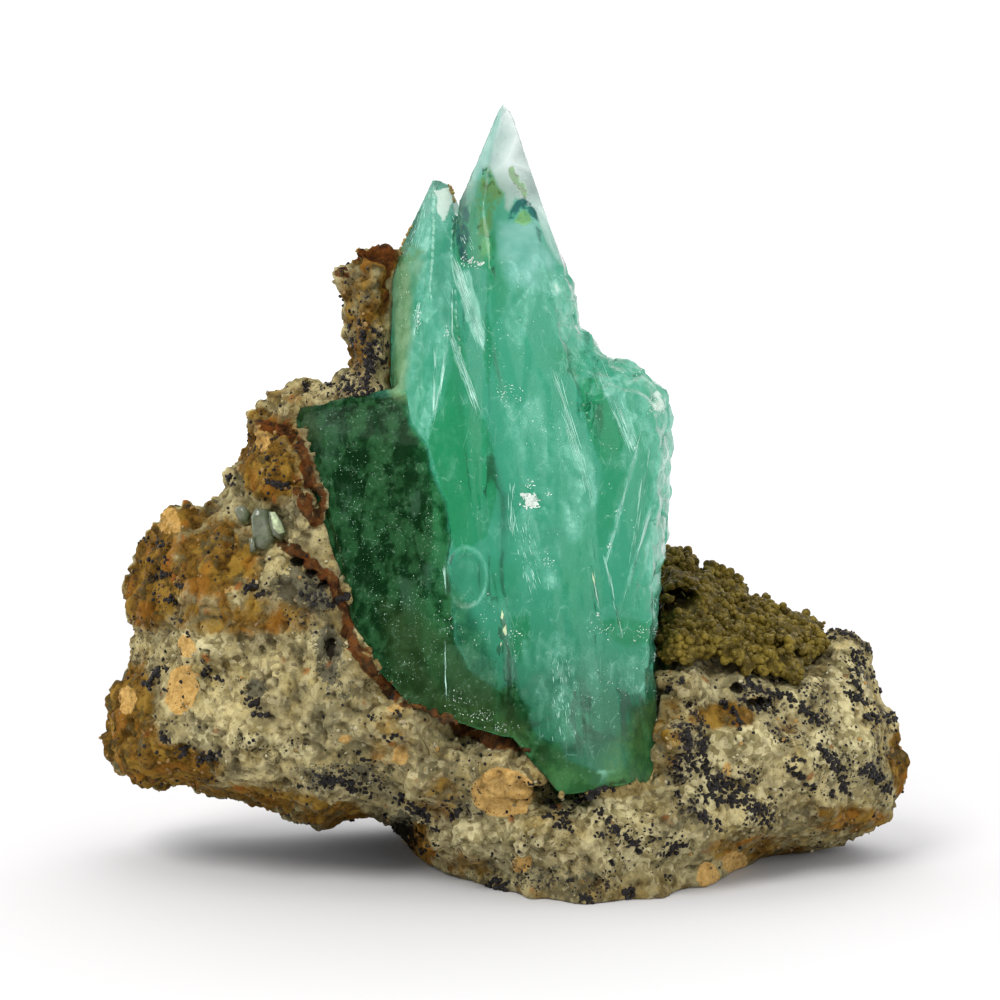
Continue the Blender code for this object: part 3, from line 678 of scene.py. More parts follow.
DARK = [(365, 350, 26, 60, 0.8), (355, 385, 50, 16, 0.75), (300, 392, 24, 12, 0.5),
        (155, 600, 34, 80, 0.55), (205, 500, 40, 16, 0.5), (255, 480, 30, 22, 0.45),
        (262, 450, 34, 46, 0.6), (300, 600, 40, 30, 0.7), (350, 670, 26, 26, 0.5), (270, 745, 50, 14, 0.6),
        (350, 780, 60, 20, 0.65), (690, 760, 24, 60, 1.0), (735, 800, 50, 34, 1.0),
        (800, 710, 50, 40, 0.75), (860, 660, 22, 60, 0.85), (885, 730, 18, 40, 0.7),
        (840, 770, 60, 30, 0.7), (670, 670, 14, 24, 0.6), (580, 790, 60, 12, 0.5),
        (560, 760, 60, 40, 0.45), (560, 870, 90, 34, 0.6), (640, 840, 60, 40, 0.55),
        (450, 800, 40, 30, 0.5), (480, 750, 40, 14, 0.5), (850, 640, 30, 12, 0.9),
        (200, 680, 50, 16, 0.35), (760, 690, 30, 20, 0.7)]
# hollows: sunk into the stone and painted near black as shade
HOLES = [(405, 838, 20, 22, 1.1), (758, 705, 13, 7, 1.5), (737, 690, 8, 8, 1.2),
         (296, 561, 9, 5, 1.2), (310, 572, 9, 6, 1.2), (323, 586, 7, 7, 0.9), (722, 664, 8, 5, 0.4), (690, 705, 5, 5, 0.5),
         (260, 500, 8, 6, 0.5), (306, 386, 6, 6, 0.6), (150, 545, 5, 5, 0.4),
         (152, 580, 8, 6, 0.5), (176, 605, 6, 14, 0.5), (330, 650, 7, 16, 0.8),
         (372, 690, 8, 8, 0.4), (240, 740, 5, 14, 0.5), (545, 800, 6, 6, 0.4),
         (272, 750, 10, 7, 0.4), (785, 645, 7, 5, 0.6), (232, 545, 5, 12, 0.5),
         (346, 300, 5, 8, 0.4), (362, 338, 6, 5, 0.4)]


def spots(u, v, table, edge=0.45):
    out = np.zeros(len(u))
    for cu, cv, ru, rv, k in table:
        r = np.sqrt(((u - cu) / ru) ** 2 + ((v - cv) / rv) ** 2)
        out = np.maximum(out, k * (1 - smooth(1 - edge, 1 + edge, r)))
    return out


def nearest(tree, co, reach):
    """Distance to the surface and the direction to it, for each point."""
    dist = np.full(len(co), reach)
    toward = np.zeros((len(co), 3))
    for i, c in enumerate(co):
        hit = tree.find_nearest(c, reach)
        if hit[0] is not None:
            dist[i] = hit[3]
            d = hit[0] - Vector(c)
            if hit[3] > 1e-6:
                toward[i] = d[:]
                toward[i] /= hit[3]
    return dist, toward


RIM_LUMPS = [(319, 496, 0.7), (313, 506, 0.95), (305, 497, 0.75), (319, 516, 0.75), (324, 503, 0.6), (299, 488, 0.55),
             (352, 612, 0.55), (346, 594, 0.45), (297, 452, 0.5), (303, 466, 0.45), (308, 480, 0.5),
             (385, 256, 0.7), (375, 252, 0.6), (394, 268, 0.6), (360, 252, 0.5), (341, 272, 0.5),
             (672, 678, 0.8), (678, 688, 0.55), (158, 528, 0.7), (172, 516, 0.7), (186, 512, 0.6),
             (212, 505, 0.6), (262, 410, 0.6), (275, 398, 0.5), (300, 386, 0.5), (240, 470, 0.6)]


FOOT_FILL = [(518, 760, 0.5), (526, 768, 0.6), (534, 777, 0.7), (541, 787, 0.8), (548, 797, 0.9), (512, 760, 0.5), (522, 775, 0.7),
             (529, 786, 0.8), (537, 797, 0.9), (506, 772, 0.8), (518, 780, 0.9), (532, 790, 1.0), (524, 800, 1.1), (540, 806, 1.1), (550, 802, 0.8), (564, 812, 0.9), (578, 812, 1.0), (594, 806, 1.0), (610, 803, 1.0),
             (627, 800, 1.0), (642, 797, 0.9), (656, 790, 0.9), (664, 776, 0.7), (669, 760, 0.7), (572, 822, 1.3),
             (600, 818, 1.3), (628, 814, 1.2), (650, 808, 1.1), (548, 812, 1.1)]

BORDER = [(292, 405), (296, 425), (303, 450), (312, 478), (322, 500), (318, 525), (314, 548), (326, 566),
          (345, 592), (346, 612), (352, 630), (366, 652), (384, 678), (400, 698), (425, 710), (447, 719),
          (470, 730), (490, 740), (513, 742), (527, 752), (538, 764), (548, 776), (560, 788), (572, 794), (590, 789),
          (610, 786), (629, 782), (650, 780), (658, 764), (664, 742), (668, 720), (664, 700)]


RUST = [[(262, 424), (282, 428), (296, 440), (304, 456), (308, 478), (316, 498), (321, 510)],
        [(284, 545), (300, 554), (318, 568), (334, 586), (343, 606), (348, 628), (356, 650), (368, 668), (384, 684),
         (400, 700), (424, 712), (447, 721), (470, 733), (490, 742), (513, 746), (527, 754)]]


def make_rock(crystal_tree):
    base = cad_mesh("matrix")
    tree = bvh(base)
    gem = bvh(cad_mesh("phosphophyllite_crystal"))
    rng = np.random.default_rng(17)
    shape, faces = ico_shape(2)
    cos, fs, n = [get_co(base)], [[list(p.vertices) for p in base.polygons]], len(base.vertices)
    for cu, cv, r in RIM_LUMPS:
        d = (sight(cu, cv, 0.0) - EYE).normalized()
        hit = tree.ray_cast(EYE, d)
        if hit[0] is not None and hit[0].y < SHIFT.y + 8:
            cos.append(shape * r * np.array([1.0, 0.8, 0.9]) + np.array((hit[0] - d * 0.15)[:]))
            fs.append((faces + n).tolist())
            n += len(shape)
    for (x0, y0), (x1, y1) in zip(BORDER, BORDER[1:]):
        steps = max(2, int(math.hypot(x1 - x0, y1 - y0) / 1.5))
        foot = x0 > 520
        for k in range(steps):
            t = k / steps
            away = abs(rng.normal(0, 4.5 if foot else 1.5))
            r = rng.uniform(0.26, 0.62) if foot else rng.uniform(0.10, 0.30)
            cu = x0 + (x1 - x0) * t + rng.normal(0, 1.6) + (away * 0.5 + 8 * r if x0 > 650 else -9 * r if foot and x0 < 560 else 0)
            cv = y0 + (y1 - y0) * t + rng.normal(0, 1.6) + (away + (13 if x0 < 580 else 6) * r if foot and x0 < 650 else 0)
            d = (sight(cu, cv, 0.0) - EYE).normalized()
            hits = [h[0] for h in (tree.ray_cast(EYE, d), gem.ray_cast(EYE, d)) if h[0] is not None and h[0].y < 5]
            if not hits:
                continue
            c = min(hits, key=lambda h: h.y)
            cos.append(shape * r * np.array([1.0, 0.8, 1.0]) + np.array((c + d * 0.06)[:]))
            fs.append((faces + n).tolist())
            n += len(shape)
    for cu, cv, r in FOOT_FILL:
        d = (sight(cu, cv - 14, 0.0) - EYE).normalized()
        hits = [h[0].y for h in (tree.ray_cast(EYE, d), gem.ray_cast(EYE, d)) if h[0] is not None]
        c = sight(cu, cv, max(min(hits) + 0.80 * r, CAD_BOX[0][1] * 1000 + r) - SHIFT.y)
        cos.append(shape * r * np.array([1.15, 1.0, 1.0]) + np.array(c[:]))
        fs.append((faces + n).tolist())
        n += len(shape)
    me = mesh_of("stone_work", np.concatenate(cos), [f for part in fs for f in part])
    me = remesh(me, 0.205)
    me = relax(me, 5, 0.5)
    co, no = get_co(me), get_no(me)
    dist, toward = nearest(crystal_tree, co, 1.6)
    facing = (toward * no).sum(1)
    seat = smooth(0.75, 0.35, dist) * smooth(0.2, 0.7, facing)     # lies against the crystal
    u, v = elevation(co)
    front = smooth(0.15, -0.35, no[:, 1])
    base = smooth(0.15, 0.9, co[:, 2])

    # broken stone: lumps, stepped fragments, then grains
    warp = np.stack([perlin(co / 1.7, 31), perlin(co / 1.7, 32), perlin(co / 1.7, 33)], 1)
    q = co + 0.55 * warp
    calm = 1 - 0.45 * smooth(560, 680, u) * front
    d = 0.30 * fbm(co / 3.1, 4, 1) * calm
    f1, f2, cell = worley(q / 1.7, 2)
    d += (0.42 * (cell - 0.5) * smooth(0.0, 0.22, f2 - f1) - 0.14 * smooth(0.14, 0.0, f2 - f1)) * calm
    e1, e2, cell = worley(q / 0.8, 3)
    d += 0.24 * (cell - 0.5) * smooth(0.0, 0.3, e2 - e1) * calm
    g1, g2, gc = worley(co / 0.46, 4)
    d += 0.17 * (0.45 - g1) + 0.10 * (gc - 0.5)
    pits = smooth(0.30, 0.55, fbm(co / 0.85, 3, 9))
    d -= 0.34 * pits * calm
    # mask for painted shade in the crevices between fragments and in the pits
    crevice_shade = np.clip(smooth(0.16, 0.0, f2 - f1) * 0.6 + smooth(0.12, 0.0, e2 - e1) * 0.35 + pits, 0, 1)
    d *= base * (1 - 0.85 * seat) * (0.55 + 0.45 * smooth(0.3, 1.2, dist)) * 1.12

    # rusty rim: a raised, knobbly selvage where the rock meets the crystal
    lip = np.exp(-((dist - 0.45) / 0.45) ** 2) * (1 - seat) * front * smooth(600, 520, u)
    d += lip * (0.12 + 0.30 * fbm(co / 0.8, 2, 12))
    # against the crystal the rock closes up to it
    d += seat * (dist + 0.10)
    # where the hollows are; they are painted dark as shade
    hole_shade = np.zeros(len(co))
    sink = np.zeros(len(co))
    ragged = 0.45 * perlin(co / 0.55, 27) + 0.25 * perlin(co / 0.25, 28)
    for cu, cv, ru, rv, k in HOLES:
        r = np.sqrt(((u - cu) / ru) ** 2 + ((v - cv) / rv) ** 2) + ragged
        w = (1 - smooth(0.35, 1.15, r)) * front
        sink = np.maximum(sink, k * w)
        hole_shade = np.maximum(hole_shade, w * min(1.0, k))
    new = co + no * d[:, None]
    back = np.array([0.0, 1.0, 0.10])
    new += sink[:, None] * back
    new[:, 2] = np.maximum(new[:, 2], np.where(co[:, 2] < 0.05, 0.0, 0.02))
    set_co(me, new)

    for k, (size, octaves) in enumerate(((3.0, 3), (2.4, 3), (1.8, 3), (2.2, 2), (1.9, 3), (5.3, 2), (4.2, 2))):
        x = fbm(co / size + 31.7 * k, octaves, 81 + 5 * k, 0.6)
        put(me, "n%d" % k, 0.5 + 0.105 * (x - x.mean()) / x.std())
    drift = fbm(co / 6.0, 3, 21)
    back_w = 1 - front
    put(me, "stain", np.maximum(spots(u, v, STAIN) * front, back_w * smooth(-0.1, 0.7, drift)))
    put(me, "pale", np.maximum(spots(u, v, PALE_AND_LIT) * front, back_w * smooth(0.1, 0.8, -drift) * 0.8))
    put(me, "painted_shade", spots(u, v, SHADE_PATCHES) * front)
    put(me, "dark", np.maximum(np.maximum(spots(u, v, DARK) * front, 0.22), back_w * smooth(-0.1, 0.6, fbm(co / 3.5, 2, 22)) * 0.8))
    put(me, "peach", spots(u, v, PEACH, 0.25) * front)
    put(me, "hole_shade", hole_shade)
    # painted crevice shade, left off where the stone lies against the crystal and on the peach blobs
    put(me, "crevice_shade", crevice_shade * (1 - seat) * (1 - 0.8 * spots(u, v, PEACH, 0.25)))
    ring = smooth(0.95, 0.35, dist + 0.36 * fbm(co / 1.0, 3, 23)) * (1 - (1 - front) * smooth(-0.2, 0.2, fbm(co / 2.4, 2, 24)))
    left = smooth(545, 500, u)
    lumps = np.zeros(len(co))
    for cu, cv, r in RIM_LUMPS[:7] + RIM_LUMPS[11:16]:
        lumps = np.maximum(lumps, smooth(1.35, 0.7, np.hypot(u - cu, v - cv) / (r * 16)) * front)
    column = smooth(14, 4, np.abs(u - 391)) * smooth(350, 290, v) * smooth(236, 246, v) * front
    gap = np.minimum(line_gap(u, v, RUST[0]), line_gap(u, v, RUST[1])) + 2.5 * perlin(co / 0.45, 25) + 2.0 * perlin(co / 1.1, 26)
    band = smooth(8.5, 3.0, gap) * front
    put(me, "rim", np.where((seat > 0.5) & (band < 0.3), 0.2, np.maximum.reduce([ring * left * 0.5, lumps, column * 0.9, band])))
    put(me, "film", np.where(seat > 0.5, 0.0, np.maximum(ring * (1 - left) * 0.9, 0.62 * smooth(18, 7, gap) * front * (1 - band)) * (1 - lumps)))
    return thin(me, 194000), dict(co=new, no=no, u=u, v=v, front=front, dist=dist, seat=seat)


# ---------------------------------------------------------------------- grains
ICO = None


def ico_shape(sub=1):
    bm = bmesh.new()
    bmesh.ops.create_icosphere(bm, subdivisions=sub, radius=1.0)
    co = np.array([v.co[:] for v in bm.verts])
    faces = np.array([[v.index for v in f.verts] for f in bm.faces])
    bm.free()
    return co, faces


def crystals_on(points, normals, radii, rng, squash=(0.6, 1.25), sink=0.25, jag=0.22, sub=1):
    """One mesh of many small angular grains, half sunk in the surface."""
    shape, faces = ico_shape(sub)
    n = len(points)
    all_co, all_f, owner = [], [], []
    for i in range(n):
        s = radii[i] * rng.uniform(squash[0], squash[1], 3)
        jit = shape * (1 + jag * rng.uniform(-1, 1, (len(shape), 1)))
        a = rng.normal(size=(3, 3))
        qm, _ = np.linalg.qr(a)
        c = (jit * s) @ qm.T + points[i] + normals[i] * radii[i] * (0.5 - sink)
        all_co.append(c)
        all_f.append(faces + i * len(shape))
        owner.append(np.full(len(shape), i))
    return np.concatenate(all_co), np.concatenate(all_f), np.concatenate(owner)


BIG_BLACK = [(156, 673, 9), (163, 668, 6), (150, 684, 8), (165, 690, 5), (205, 673, 6), (208, 668, 5),
             (217, 679, 6), (203, 660, 4), (253, 702, 8), (262, 715, 8), (258, 707, 5), (246, 700, 5),
             (163, 737, 7), (168, 742, 5), (183, 752, 8), (189, 746, 6), (205, 758, 8), (212, 755, 8),
             (198, 762, 5), (358, 751, 6), (365, 760, 5), (325, 778, 7), (335, 780, 7), (345, 772, 6),
             (350, 783, 7), (318, 775, 5), (352, 790, 6), (458, 812, 8), (450, 816, 6), (437, 830, 6),
             (420, 812, 8), (428, 820, 7), (410, 806, 8), (426, 850, 7), (436, 845, 5), (500, 886, 9),
             (492, 882, 7), (582, 897, 7), (590, 900, 6), (627, 892, 8), (570, 880, 5), (610, 862, 6),
             (600, 835, 6), (634, 843, 7), (638, 850, 6), (672, 848, 8), (680, 845, 7), (665, 855, 5),
             (668, 878, 5), (560, 825, 6), (548, 815, 6), (595, 792, 8), (605, 788, 7), (612, 782, 6),
             (590, 797, 6), (565, 813, 6), (600, 812, 6), (608, 818, 5), (834, 624, 6), (840, 628, 5),
             (832, 636, 6), (846, 634, 6), (865, 640, 7), (868, 650, 6), (855, 637, 5), (862, 658, 6),
             (873, 676, 6), (880, 690, 7), (895, 718, 8), (888, 715, 6), (870, 716, 8), (877, 721, 6),
             (820, 655, 7), (815, 652, 6), (800, 705, 6), (812, 714, 7), (818, 720, 7), (826, 716, 5),
             (768, 705, 8), (758, 708, 9), (745, 700, 6), (800, 760, 6), (832, 758, 8), (836, 770, 8),
             (846, 788, 7), (832, 792, 7), (870, 770, 8), (878, 776, 7), (884, 790, 6), (160, 545, 6),
             (145, 540, 5), (152, 560, 5), (165, 575, 7), (178, 585, 6), (170, 600, 7), (180, 620, 5),
             (187, 634, 4), (274, 484, 6), (283, 486, 7), (268, 480, 5), (229, 478, 7), (232, 484, 5),
             (252, 586, 8), (259, 594, 6), (246, 590, 5), (306, 388, 7), (330, 385, 5), (345, 380, 5),
             (352, 392, 6), (365, 395, 5), (372, 372, 6), (380, 360, 6), (366, 352, 5), (355, 340, 5),
             (362, 322, 5), (350, 312, 4), (374, 330, 6), (388, 345, 6), (341, 268, 4), (346, 282, 4),
             (330, 395, 4), (392, 696, 5), (398, 712, 5), (372, 718, 5), (396, 736, 6), (400, 800, 8)]
BLACK_VEINS = [((690, 722), (686, 745), (694, 770), 5), ((700, 728), (704, 760), (712, 790), 5),
               ((705, 792), (735, 800), (772, 824), 7), ((712, 780), (740, 790), (758, 812), 6),
               ((700, 815), (712, 822), (722, 830), 5), ((832, 630), (848, 632), (872, 640), 4),
               ((855, 650), (853, 672), (858, 694), 5), ((845, 690), (862, 700), (880, 712), 4),
               ((775, 690), (792, 700), (815, 716), 4), ((745, 675), (760, 690), (790, 700), 5),
               ((820, 745), (832, 762), (846, 792), 5), ((862, 766), (876, 775), (890, 792), 5),
               ((575, 802), (598, 790), (622, 780), 4), ((600, 820), (620, 832), (640, 850), 4),
               ((545, 800), (560, 815), (572, 830), 4), ((640, 700), (668, 690), (690, 676), 3),
               ((360, 330), (372, 352), (366, 385), 5), ((340, 385), (356, 392), (378, 388), 5),
               ((300, 596), (330, 604), (350, 596), 4), ((318, 780), (345, 784), (372, 792), 5),
               ((785, 765), (800, 775), (812, 790), 4), ((720, 700), (735, 712), (742, 730), 4)]


def make_grains(rock_tree, info):
    rng = np.random.default_rng(11)

    def cast(u, v):
        d = (sight(u, v, 0.0) - EYE).normalized()
        hit = rock_tree.ray_cast(EYE, d)
        return (hit[0], hit[1]) if hit[0] is not None else (None, None)

    pts, nrm, rad = [], [], []

    def drop(u, v, r):
        p, n = cast(u, v)
        if p is not None and p.y < SHIFT.y + 12:
            pts.append(p[:])
            nrm.append(n[:])
            rad.append(r)

    for u, v, r in BIG_BLACK:
        k = max(5, int(r * 1.7))
        for j in range(k):
            a, s = rng.uniform(0, 2 * math.pi), rng.uniform(0, 0.95) * r
            drop(u + s * math.cos(a) * 1.2, v + s * math.sin(a) * 0.8, rng.uniform(0.20, 0.46) * r / 16.0)
    for a, b, c, w in BLACK_VEINS:
        n = int((math.dist(a, b) + math.dist(b, c)) * w / 4.5)
        for j in range(n):
            t = rng.uniform(0, 2)
            (x0, y0), (x1, y1), s = (a, b, t) if t < 1 else (b, c, t - 1)
            drop(x0 + (x1 - x0) * s + rng.normal(0, w * 0.55), y0 + (y1 - y0) * s + rng.normal(0, w * 0.55),
                 rng.uniform(0.07, 0.20))
    # scattered over the whole stone, by how dark it is there
    co, no = info["co"], info["no"]
    ok = (info["seat"] < 0.3) & (co[:, 2] > 0.4)
    dark = np.maximum(spots(info["u"], info["v"], DARK) * info["front"], 0.16)
    dark = dark * smooth(-0.10, 0.50, fbm(co / 1.6, 2, 41)) * ok
    pick = rng.choice(len(co), size=1500, replace=False, p=dark / dark.sum())
    for i in pick:
        pts.append(co[i]); nrm.append(no[i]); rad.append(rng.uniform(0.05, 0.15))
    c, f, owner = crystals_on(np.array(pts), np.array(nrm), np.array(rad), rng, (0.7, 1.15), 0.42, 0.18)
    black = mesh_of("sulphide_grains", c, f.tolist(), False)

    # pale feldspar and quartz grains standing proud
    w = (0.35 + info["front"]) * ok * smooth(0.35, 0.8, info["dist"])
    pick = rng.choice(len(co), size=900, replace=False, p=w / w.sum())
    c, f, owner = crystals_on(co[pick], no[pick], rng.uniform(0.07, 0.17, len(pick)), rng,
                              (0.6, 1.3), 0.45, 0.2)
    pale = mesh_of("mineral_grains", c, f.tolist(), False)
    put(pale, "tone", rng.uniform(0, 1, len(pick))[owner])
    stain = spots(info["u"], info["v"], STAIN) * info["front"]
    put(pale, "stain", stain[pick][owner])
    return black, pale


# ----------------------------------------------------------------------- crust
def make_crust(rock_tree):
    rng = np.random.default_rng(5)
    shell = remesh(cad_mesh("drusy_crust"), 0.30)
    shell = relax(shell, 8, 0.5)
    co, no = get_co(shell), get_no(shell)
    up = smooth(-0.2, 0.25, no @ np.array([0.0, -0.55, 0.83]))
    parts_co, parts_f, n0 = [co - no * 0.30], [[list(p.vertices) for p in shell.polygons]], len(co)
    shape, faces = ico_shape(2)
    area_pts = rng.choice(len(co), size=900, replace=True, p=up / up.sum())
    lumps = fbm(co / 2.2, 2, 51)
    for i in area_pts:
        r = rng.uniform(0.20, 0.46) * (1.0 + 0.3 * lumps[i])
        c = co[i] + no[i] * (0.22 * lumps[i] - 0.45 * r) + rng.normal(0, 0.10, 3)
        parts_co.append(shape * r + c)
        parts_f.append((faces + n0).tolist())
        n0 += len(shape)
    fl = [f for part in parts_f for f in part]
    me = mesh_of("crust_work", np.concatenate(parts_co), fl)
    me = remesh(me, 0.115)
    me = relax(me, 1, 0.4)
    co, no = get_co(me), get_no(me)
    u, v = elevation(co)
    g1, g2, gc = worley(co / 0.27, 52)
    d = 0.05 * (0.55 - g1)
    g1, g2, gc = worley(co / 0.62, 53)
    d += 0.12 * (0.5 - g1) + 0.12 * fbm(co / 0.9, 3, 55)
    # hollows in the crust: sunk, and painted near black as shade
    holes = [(680, 600, 19, 13, 1.3), (668, 606, 12, 8, 0.8), (778, 645, 7, 5, 0.8),
             (736, 682, 6, 9, 0.9), (800, 655, 8, 6, 0.5), (672, 678, 6, 7, 0.4)]
    hole_shade = np.zeros(len(co))
    sink = np.zeros(len(co))
    front = smooth(0.3, -0.1, no[:, 1])
    for cu, cv, ru, rv, k in holes:
        r = np.sqrt(((u - cu) / ru) ** 2 + ((v - cv) / rv) ** 2) + 0.18 * perlin(co / 0.5, 54)
        w = (1 - smooth(0.45, 1.1, r)) * front
        sink = np.maximum(sink, k * w)
        hole_shade = np.maximum(hole_shade, w)
    new = co + no * d[:, None]
    new[:, 1] += sink * 1.6
    set_co(me, new)
    # painted shade in the valleys between the knobs
    f1, f2, c2 = worley(co / 0.62, 53)
    put(me, "deep", smooth(0.45, 0.75, f1))
    put(me, "hole_shade", hole_shade)
    # rounded beads of the druse
    no2 = get_no(me)
    w = smooth(-0.1, 0.4, no2 @ np.array([0.0, -0.6, 0.8])) * (1 - hole_shade) * smooth(-0.25, 0.35, fbm(new / 1.5, 2, 56)) + 1e-6
    pick = rng.choice(len(new), size=1150, replace=False, p=w / w.sum())
    radii = 0.09 + 0.26 * rng.random(len(pick)) ** 2.2
    c, f, owner = crystals_on(new[pick] + np.array([0.0, 0.0, 0.0]), no2[pick], radii, rng, (0.85, 1.1), 0.15, 0.05, 2)
    beads = mesh_of("crust_beads", c, f.tolist())
    put(beads, "deep", np.zeros(len(c)))
    put(beads, "hole_shade", np.zeros(len(c)))
    return me, beads


# --------------------------------------------------------------------- crystal
CLEAR = [([(503, 92), (522, 118), (550, 200), (574, 268), (560, 264), (547, 242), (539, 220), (531, 208),
           (523, 200), (515, 197), (509, 210), (506, 208), (506, 192), (499, 186), (496, 178), (490, 166),
           (494, 140), (498, 118)], 2.5, 1.0),
         ([(502, 92), (492, 140), (488, 165), (480, 168), (472, 186), (462, 190), (464, 165), (480, 125)], 3, 0.55),
         ([(466, 172), (474, 168), (470, 190), (462, 198)], 3, 0.35)]
MILK = [([(422, 263), (453, 249), (454, 270), (453, 297), (451, 334), (443, 380), (437, 410), (430, 429),
          (428, 444), (417, 436), (405, 406), (400, 391), (403, 346), (413, 304)], 2.0, 0.50),
        ([(432, 176), (452, 180), (455, 215), (440, 250), (392, 262), (390, 248), (410, 232)], 4, 0.55),
        ([(454, 272), (470, 268), (481, 312), (485, 334), (483, 350), (473, 338), (462, 304)], 1.5, 0.90),
        ([(450, 336), (456, 340), (464, 362), (477, 398), (477, 412), (466, 388), (455, 362)], 1.5, 0.58),
        ([(511, 262), (540, 250), (560, 270), (578, 300), (580, 330), (560, 350), (541, 300), (538, 274), (507, 304)], 5, 0.42),
        ([(538, 274), (541, 289), (522, 346), (492, 350), (496, 334), (511, 308)], 1.5, 0.48),
        ([(556, 380), (594, 467), (598, 500), (585, 522), (572, 505), (565, 470), (560, 430)], 2.0, 0.50),
        ([(560, 500), (585, 515), (583, 545), (566, 540)], 4, 0.45),
        ([(598, 376), (621, 374), (638, 440), (634, 452), (624, 440)], 1.5, 0.60),
        ([(621, 376), (655, 380), (674, 390), (676, 470), (668, 560), (658, 640), (650, 640), (652, 590), (644, 560),
          (655, 500), (640, 445)], 3, 0.56),
        ([(523, 508), (545, 506), (560, 540), (562, 590), (530, 590), (516, 560), (512, 520)], 2, 0.45),
        ([(548, 281), (556, 277), (567, 288), (562, 298), (552, 296)], 4, 0.85),
        ([(606, 662), (625, 652), (652, 655), (654, 690), (636, 702), (612, 692), (602, 678)], 9, 0.55),
        ([(520, 640), (560, 630), (600, 650), (604, 700), (600, 745), (566, 748), (540, 722), (526, 690)], 5, 0.42),
        ([(385, 562), (440, 575), (446, 600), (450, 640), (444, 690), (410, 690), (388, 640)], 12, 0.12),
        ([(395, 575), (412, 580), (414, 612), (400, 616)], 3, 0.7), ([(420, 560), (432, 566), (430, 590), (419, 584)], 3, 0.6),
        ([(407, 493), (419, 488), (420, 512), (410, 518)], 2, 0.75), ([(442, 572), (447, 578), (448, 596), (443, 592)], 1.2, 1.0),
        ([(445, 644), (470, 646), (498, 664), (494, 700), (470, 706), (447, 702)], 1.5, 0.62),
        ([(500, 400), (540, 395), (560, 440), (550, 500), (505, 480)], 8, 0.35),
        ([(636, 444), (640, 446), (622, 512), (608, 562), (604, 560), (617, 510)], 1.2, 0.62),
        ([(668, 447), (672, 450), (650, 520), (629, 590), (625, 588), (645, 515)], 1.2, 0.66),
        ([(585, 784), (597, 770), (624, 768), (622, 780), (600, 788)], 2, 0.9),
        ([(300, 400), (335, 400), (350, 425), (330, 470), (312, 450)], 8, 0.55),
        ([(335, 480), (352, 484), (350, 525), (338, 520)], 6, 0.5), ([(360, 410), (400, 408), (404, 440), (380, 450)], 8, 0.30),
        ([(556, 300), (575, 305), (600, 345), (590, 372), (560, 345)], 8, 0.35)]
DEEP_Z = [([(428, 442), (430, 427), (439, 410), (462, 402), (487, 420), (496, 468), (497, 493), (487, 536), (465, 552),
            (451, 545), (446, 511), (439, 479)], 2.0, 0.95),
          ([(451, 300), (462, 334), (473, 380), (485, 421), (470, 430), (439, 430), (443, 400), (451, 365)], 2, 0.75),
          ([(487, 262), (493, 270), (486, 312), (492, 331), (489, 400), (483, 352), (484, 330)], 1.0, 0.9),
          ([(504, 263), (511, 293), (507, 304), (492, 331), (490, 300), (487, 251)], 1.5, 0.55),
          ([(578, 380), (598, 377), (624, 441), (621, 452), (602, 467), (587, 429)], 1.2, 0.70),
          ([(602, 467), (621, 452), (632, 462), (612, 530), (602, 556), (594, 520)], 2, 0.55),
          ([(598, 622), (626, 617), (648, 622), (650, 642), (626, 646), (610, 640)], 5, 1.0),
          ([(512, 616), (530, 614), (532, 640), (520, 664), (508, 652)], 3, 0.8),
          ([(487, 555), (520, 560), (520, 600), (490, 604)], 6, 0.5),
          ([(458, 262), (460, 222), (476, 205), (480, 236), (496, 232), (499, 262), (492, 270), (470, 268)], 3, 0.85),
          ([(545, 345), (590, 350), (580, 378), (556, 374)], 5, 0.55),
          ([(560, 545), (596, 530), (602, 600), (580, 640), (562, 600)], 8, 0.40)]
MOSS = [([(630, 700), (654, 694), (670, 700), (670, 800), (596, 800), (600, 776), (626, 766)], 5, 0.95),
        ([(380, 600), (420, 615), (450, 640), (470, 668), (500, 694), (530, 725), (520, 750), (440, 730), (392, 700)], 10, 0.75),
        ([(540, 742), (600, 772), (604, 800), (560, 800), (536, 765)], 4, 0.8),
        ([(596, 700), (640, 690), (668, 700), (668, 790), (600, 790)], 12, 0.45),
        ([(292, 400), (312, 398), (318, 440), (300, 440)], 6, 0.7),
        ([(318, 560), (345, 580), (350, 612), (330, 600)], 6, 0.6)]
# outline of the part with rock behind it, painted dark as shade
DARK_Z = [([(262, 392), (405, 392), (409, 420), (427, 447), (429, 466), (445, 501), (450, 538), (446, 560),
            (452, 600), (455, 640), (470, 668), (500, 690), (516, 680), (522, 698), (531, 708), (531, 722),
            (538, 738), (560, 744), (568, 760), (584, 766), (602, 774), (600, 810), (540, 810), (440, 760),
            (360, 720), (300, 620), (270, 500)], 3, 1.0),
          ([(446, 570), (470, 606), (490, 650), (504, 692), (470, 680), (452, 640)], 8, 0.75),
          ([(630, 706), (654, 700), (670, 700), (670, 790), (620, 800), (596, 795), (600, 776), (626, 766)], 5, 0.85)]
OLIVE_Z = [([(489, 166), (499, 186), (506, 192), (502, 200), (494, 212), (490, 236), (478, 236), (477, 200), (481, 178)], 3, 0.95),
           ([(478, 238), (492, 240), (490, 262), (478, 260)], 4, 0.5),
           ([(397, 246), (410, 242), (425, 252), (408, 264), (396, 262)], 3, 0.8),
           ([(440, 700), (500, 712), (530, 730), (540, 760), (480, 745), (420, 725)], 6, 0.25),
           ([(606, 750), (634, 716), (652, 696), (668, 700), (668, 780), (640, 790), (598, 792), (600, 770)], 8, 0.55),
           ([(536, 758), (560, 764), (596, 784), (575, 800), (556, 790)], 6, 0.40)]
YELLOW = [([(385, 256), (410, 262), (413, 300), (412, 340), (405, 400), (388, 390), (392, 340)], 5, 0.9),
          ([(405, 250), (425, 262), (415, 290), (404, 280)], 5, 0.5)]
